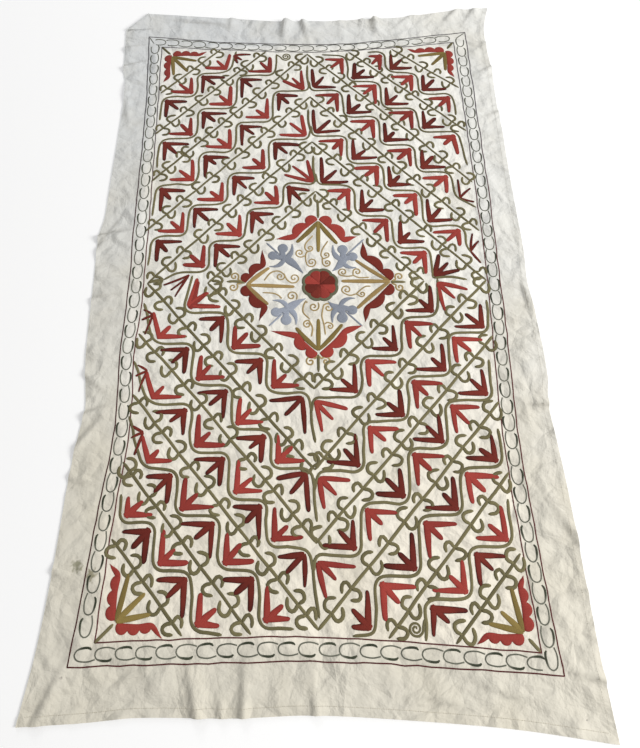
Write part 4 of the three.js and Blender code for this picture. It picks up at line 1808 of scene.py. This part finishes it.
@dataclass
class Border:
    """The border: two fine frame lines, and between them a chain of open links."""

    cloth: ClothForm
    line_width: float = 3.3
    seed: int = 89
    link_span: float = 17.0
    link_half_width: float = 12.0
    # The links' thread: half its width, how much more it has where it is thick, and where that starts.
    thin_half: float = 1.7
    thick_more: float = 1.1
    thick_from: float = 0.62
    line_sway: Point = (1.3, 26)
    # Where the frame lines start to fade from dark red to grey, and over what length they do.
    fade_from: float = -300
    fade_over: float = 900
    # The short slanting lines in the upper corners.
    ties: tuple[tuple[Point, Point], ...] = (((-497, 876), (-481, 850)), ((497, 877), (470, 855)))
    sides: tuple[BorderSide, ...] = (
        BorderSide(
            ((-500, -880), (-250, -870), (0, -862), (250, -868), (500, -880)),
            ((-450, -835), (-225, -824), (0, -818), (230, -826), (462, -840)),
            -471, 448, 23,
        ),
        BorderSide(
            ((500, -880), (490, -680), (480, -400), (490, -120), (493, 40), (498, 300), (500, 880)),
            ((462, -840), (445, -400), (460, 0), (463, 430), (460, 838)),
            -853, 836, 43, upright=True,
        ),
        BorderSide(
            ((500, 880), (350, 861), (250, 849), (120, 838), (0, 837), (-250, 851), (-400, 868), (-500, 880)),
            ((460, 838), (230, 815), (0, 805), (-230, 818), (-455, 835)),
            432, -461, 22,
        ),
        BorderSide(
            (
                (-500, 880), (-487, 690), (-479, 480), (-475, 200), (-468, 0), (-470, -200),
                (-461, -385), (-479, -600), (-500, -880),
            ),
            ((-455, 835), (-441, 430), (-430, 0), (-434, -190), (-426, -390), (-440, -590), (-450, -835)),
            -808, 824, 40, upright=True, backwards=True,
        ),
    )

    @staticmethod
    def band(side: BorderSide) -> Array:
        """The middle line of the band between the frame lines on one side.

        Args:
            side: The side.

        Returns:
            The places along it, in the direction in which the links open.
        """
        paths = [smooth_path(points, 5) for points in (side.outer, side.inner)]
        share = np.linspace(0, 1, 300)
        line = sum(read_at(share, np.linspace(0, 1, len(path)), path) for path in paths) / 2
        return line[::-1] if side.backwards else line

    def chain(self, work: Worked, side: BorderSide) -> None:
        """Works the links along one side.

        Args:
            work: The stitching that takes it.
            side: The side.
        """
        rng = work.rng
        line = self.band(side)
        lengths = reached(line)
        normal = side_of(line)
        # A place on the chart as a length along the line, also a little past either end of it.
        axis = 1 if side.upright else 0
        run = lengths[-1] / (line[-1, axis] - line[0, axis])
        begin, stop = ((place - line[0, axis]) * run for place in (side.first, side.last))
        pitch = (stop - begin) / (side.links - 1)
        span, half = self.link_span, self.link_half_width
        for k in range(side.links):
            middle = begin + k * pitch
            flip = 1 if k % 2 else -1
            reach = rng.uniform(0.92, 1.06)
            shape = [
                (pitch - span, 0.72 * half), (0.7 * span, half), (0, half),
                (-0.72 * span, 0.72 * half), (-span, 0), (-0.72 * span, -0.72 * half),
                (0, -half), (0.7 * span, -half), (span * 1.05, -0.7 * half),
            ]
            if k == side.links - 1:
                shape = shape[1:]
            points = []
            for u, v in shape:
                at = middle + u + rng.uniform(-0.7, 0.7)
                on = np.clip(at, 0, lengths[-1])
                across = read_at(on, lengths, normal)
                spot = read_at(on, lengths, line) - (at - on) * quarter_turn(across)
                points.append(spot + across * (v * reach * flip))
            path = smooth_path(points, 4.6)
            share = np.linspace(0, 1, len(path))
            far = np.clip(path[:, 1] / 800, 0, 1)
            thick = np.clip((share - self.thick_from) / 0.16, 0, 1) * (1 - 0.5 * far)
            width = (self.thin_half + self.thick_more * thick) * np.interp(share, (0, 0.96, 1), (1, 1, 0.6))
            work.ribbon(path, width, width, rng.random(), tip=thick)

    def build(self) -> list[Object]:
        """Works the frame lines and the chain.

        Returns:
            The two pieces.
        """
        rng = Random(self.seed)
        lines = Worked(self.cloth, rng, "frame_lines", "dark_thread", FRAME_DARK, crown=0.7 * MM)
        chain = Worked(self.cloth, rng, "border_chain", "dark_thread", CHAIN_DARK, crown=0.7 * MM)
        for points in [side.outer for side in self.sides] + [side.inner for side in self.sides]:
            path = by_hand(smooth_path(points, 9), rng, *self.line_sway)
            faded = np.clip((path[:, 1] - self.fade_from) / self.fade_over, 0, 1)
            half = np.full(len(path), self.line_width / 2)
            lines.ribbon(path, half, half, rng.random(), tip=faded)
        for tie in self.ties:
            chain.line(even_steps(np.array(tie, float), 6), self.line_width)
        for side in self.sides:
            self.chain(chain, side)
        return [lines.build(), chain.build()]


@dataclass
class GroundCloth:
    """The ground cloth: one sheet with its hems, its creases and its top-left corner turned over."""

    form: ClothForm
    pitch: float = 7.9
    name: str = "ground_cloth_sheet"
    bend_steps: int = 7
    # Cuts across the flap, by how far past the bend they lie, in millimetres.
    flap_cuts: tuple[float, ...] = (4, 9, 16, 25, 35)
    smooth_angle: float = 50
    hem_tolerance: float = 0.0006
    # Half the worked field's size, and how softly its colour ends there, in millimetres.
    worked_half: Point = (505, 915)
    worked_beyond: float = 12
    worked_soft: float = 30

    def hem_lines(self, count: int, length: float, from_end: bool) -> Array:
        """Where the sheet's grid lines lie, with two of them on the slope of a hem.

        Args:
            count: How many grid lines there are.
            length: The sheet's size across the lines.
            from_end: Whether the hem is at the far end.

        Returns:
            The lines' fractions of the length.
        """
        hem = self.form.hem_depth
        first = np.array([0, (hem - self.form.hem_slope) / 2, hem - self.form.hem_slope, hem])
        rest = np.linspace(hem, length, count - 3)[1:]
        lines = np.concatenate([first, rest]) / length
        return 1 - lines[::-1] if from_end else lines

    def flat_sheet(self) -> Object:
        """Starts the sheet as a grid, cut along the lines of its turned corner.

        Returns:
            The flat sheet, with its fractions across and along as its places.
        """
        columns = int(self.form.width / self.pitch)
        rows = int(self.form.length / self.pitch)
        bpy.ops.object.select_all(action="DESELECT")
        bpy.ops.mesh.primitive_grid_add(x_subdivisions=columns, y_subdivisions=rows, size=1)
        sheet = bpy.context.object
        sheet.name = self.name
        co = np.zeros(len(sheet.data.vertices) * 3)
        sheet.data.vertices.foreach_get("co", co)
        co = co.reshape(-1, 3)
        column = np.rint((co[:, 0] + 0.5) * columns).astype(int)
        row = np.rint((co[:, 1] + 0.5) * rows).astype(int)
        s = self.hem_lines(columns + 1, self.form.width, True)[column]
        t = self.hem_lines(rows + 1, self.form.length, False)[row]
        x, y = self.form.place(s, t)
        sheet.data.vertices.foreach_set("co", np.column_stack([x * MM, y * MM, np.zeros(len(x))]).ravel())
        hem = self.form.hem(s, t)
        sheet.data.attributes.new("hem", "FLOAT", "POINT").data.foreach_set("value", hem)
        self.cut_fold(sheet)
        return sheet

    def cut_fold(self, sheet: Object) -> None:
        """Cuts edges across the sheet where its corner bends.

        Args:
            sheet: The flat sheet.
        """
        start, _, inwards = self.form.fold_axes()
        arc = math.pi * self.form.fold_radius
        bends = [arc * k / self.bend_steps for k in range(self.bend_steps + 1)]
        bends += [arc + extra for extra in self.flap_cuts]
        bpy.context.view_layer.objects.active = sheet
        bpy.ops.object.mode_set(mode="EDIT")
        for beyond in bends:
            place = (start - inwards * beyond) * MM
            bpy.ops.mesh.select_all(action="SELECT")
            bpy.ops.mesh.bisect(plane_co=(*place, 0), plane_no=(*inwards, 0))
        bpy.ops.object.mode_set(mode="OBJECT")

    def build(self) -> Object:
        """Makes the sheet, gives it its form and thickness, and dresses it.

        Returns:
            The finished sheet.
        """
        sheet = self.flat_sheet()
        mesh = sheet.data
        count = len(mesh.vertices)
        co = np.zeros(count * 3)
        mesh.vertices.foreach_get("co", co)
        x, y = co.reshape(-1, 3)[:, :2].T / MM
        hem = np.zeros(count)
        mesh.attributes["hem"].data.foreach_get("value", hem)
        px, py, pz = self.form.turned(x, y)
        places = np.column_stack([px, py, pz + hem]) * MM
        mesh.vertices.foreach_set("co", places.ravel())
        group = sheet.vertex_groups.new(name="thickness")
        full = self.form.thickness + self.form.hem_extra
        for value in np.unique(np.round(hem, 3)):
            members = np.nonzero(np.abs(hem - value) < self.hem_tolerance)[0]
            group.add(members.tolist(), float((self.form.thickness + value) / full), "REPLACE")
        self.paint_worked(mesh, x, y)
        mesh.attributes.remove(mesh.attributes["hem"])
        solid = sheet.modifiers.new("thickness", "SOLIDIFY")
        solid.thickness = full * MM
        solid.offset = -1
        solid.vertex_group = "thickness"
        solid.use_rim = True
        pick(sheet)
        bpy.ops.object.modifier_apply(modifier="thickness")
        sheet.vertex_groups.clear()
        bpy.ops.object.shade_smooth_by_angle(angle=math.radians(self.smooth_angle))
        mesh.materials.clear()
        mesh.materials.append(CottonFinish().make())
        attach(sheet, "root")
        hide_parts("ground_cloth")
        log.info("%s: %d faces", sheet.name, len(mesh.polygons))
        return sheet

    def paint_worked(self, mesh: bpy.types.Mesh, x: Array, y: Array) -> None:
        """Marks the worked field, where the cotton is creamier, and the painted shade in the creases.

        Args:
            mesh: The sheet's mesh.
            x: The places' x on the unfolded cloth, in millimetres.
            y: Their y.
        """
        inset = np.minimum(self.worked_half[0] - np.abs(x), self.worked_half[1] - np.abs(y))
        share = np.clip((inset + self.worked_beyond) / self.worked_soft, 0, 1)
        mesh.attributes.new("worked", "FLOAT", "POINT").data.foreach_set("value", share)
        # Painted shade where the big creases' steep flanks fall in shadow.
        crease_shade = np.max([crease.crease_shade(x, y) for crease in self.form.creases], axis=0)
        mesh.attributes.new("crease_shade", "FLOAT", "POINT").data.foreach_set("value", crease_shade)


@dataclass
class HemStitches:
    """The running stitches that hold the hem and the turned edge."""

    cloth: ClothForm
    from_edge: float = 18.5
    side_from_edge: float = 15.0
    stitch: float = 3.4
    gap: float = 1.5
    seed: int = 97

    def build(self) -> Object:
        """Works the stitches along the bottom and the right edge.

        Returns:
            The piece.
        """
        rng = Random(self.seed)
        lift = self.cloth.hem_extra * MM * 0.9
        work = Worked(self.cloth, rng, "hem_stitches", "hem_thread", SEWING, 0.35 * MM, 0.4 * MM, lift)
        pace = self.stitch + self.gap
        rows = (
            (self.cloth.width, lambda u: (u, np.full_like(u, self.from_edge / self.cloth.length))),
            (self.cloth.length, lambda u: (np.full_like(u, 1 - self.side_from_edge / self.cloth.width), u)),
        )
        for length, fractions in rows:
            for k in range(3, int(length / pace) - 3):
                u = (np.array([0, 0.5, 1]) * self.stitch + k * pace) / length
                x, y = self.cloth.place(*fractions(u))
                path = np.column_stack([x, y]) * MM / CHART_UNIT - np.array(CHART_CENTRE)
                half = np.array([0.28, 0.42, 0.28])
                work.ribbon(path, half, half, rng.random(), tip=np.zeros(3))
        return work.build()


@dataclass
class Studio:
    """The camera at the photograph's angle, soft light and a plain pale floor."""

    lens: float = 24.06
    place: tuple[float, float, float] = (-0.049, -0.680, 1.2755)
    turn: tuple[float, float, float] = (19.185, 1.312, 0.582)
    shift: Point = (0.0561, -0.0159)
    floor_size: float = 24
    floor_height: float = -0.4 * MM
    sky: float = 0.6
    # Each lamp's name, place, size, power and tint.
    lamps: tuple[tuple[str, tuple, float, float, tuple], ...] = (
        ("window", (5.4, -0.8, 2.6), 2.0, 325, (1.0, 0.99, 0.975)),
        ("fill", (-2.0, 6.5, 2.2), 2.0, 105, (0.96, 0.98, 1.0)),
    )

    def camera(self) -> None:
        """Sets up the camera."""
        data = bpy.data.cameras.new("camera")
        data.lens = self.lens
        data.sensor_width = 36
        data.shift_x, data.shift_y = self.shift
        camera = bpy.data.objects.new("camera", data)
        camera.location = self.place
        camera.rotation_euler = Euler([math.radians(angle) for angle in self.turn])
        bpy.context.scene.collection.objects.link(camera)
        bpy.context.scene.camera = camera

    def floor(self) -> None:
        """Lays the floor."""
        bpy.ops.object.select_all(action="DESELECT")
        bpy.ops.mesh.primitive_plane_add(size=self.floor_size, location=(0, 0, self.floor_height))
        floor = bpy.context.object
        floor.name = "floor"
        material = Nodes("pale_floor").surface({"Base Color": (1, 1, 1, 1), "Roughness": 0.9})
        floor.data.materials.append(material)

    def lamp(self, name: str, place: tuple, size: float, power: float, tint: tuple) -> None:
        """Hangs a soft lamp aimed at the cloth.

        Args:
            name: The lamp's name.
            place: Where it hangs.
            size: Its width.
            power: Its power in watts.
            tint: Its colour.
        """
        data = bpy.data.lights.new(name, "AREA")
        data.size = size
        data.energy = power
        data.color = tint
        lamp = bpy.data.objects.new(name, data)
        lamp.location = place
        lamp.rotation_euler = (-Vector(place)).to_track_quat("-Z", "Y").to_euler()
        bpy.context.scene.collection.objects.link(lamp)

    def light(self) -> None:
        """Hangs the lamps and sets the soft light all round."""
        world = bpy.data.worlds.new("soft_room")
        world.use_nodes = True
        background = world.node_tree.nodes["Background"].inputs
        background["Color"].default_value = (1, 1, 1, 1)
        background["Strength"].default_value = self.sky
        bpy.context.scene.world = world
        bpy.context.scene.view_settings.view_transform = "Standard"
        for lamp in self.lamps:
            self.lamp(*lamp)


def main() -> None:
    """Builds the suzani and its studio."""
    logging.basicConfig(level=logging.INFO, format="%(name)s %(message)s")
    studio = Studio()
    studio.camera()
    cloth = ClothForm()
    sheet = GroundCloth(cloth).build()
    work = [*Lattice(cloth).build(), *Sprigs(cloth).build(), *Medallion(cloth).build()]
    work += [*CornerMotifs(cloth).build(), *Border(cloth).build(), HemStitches(cloth).build()]
    studio.floor()
    studio.light()


if __name__ == "__main__":
    main()
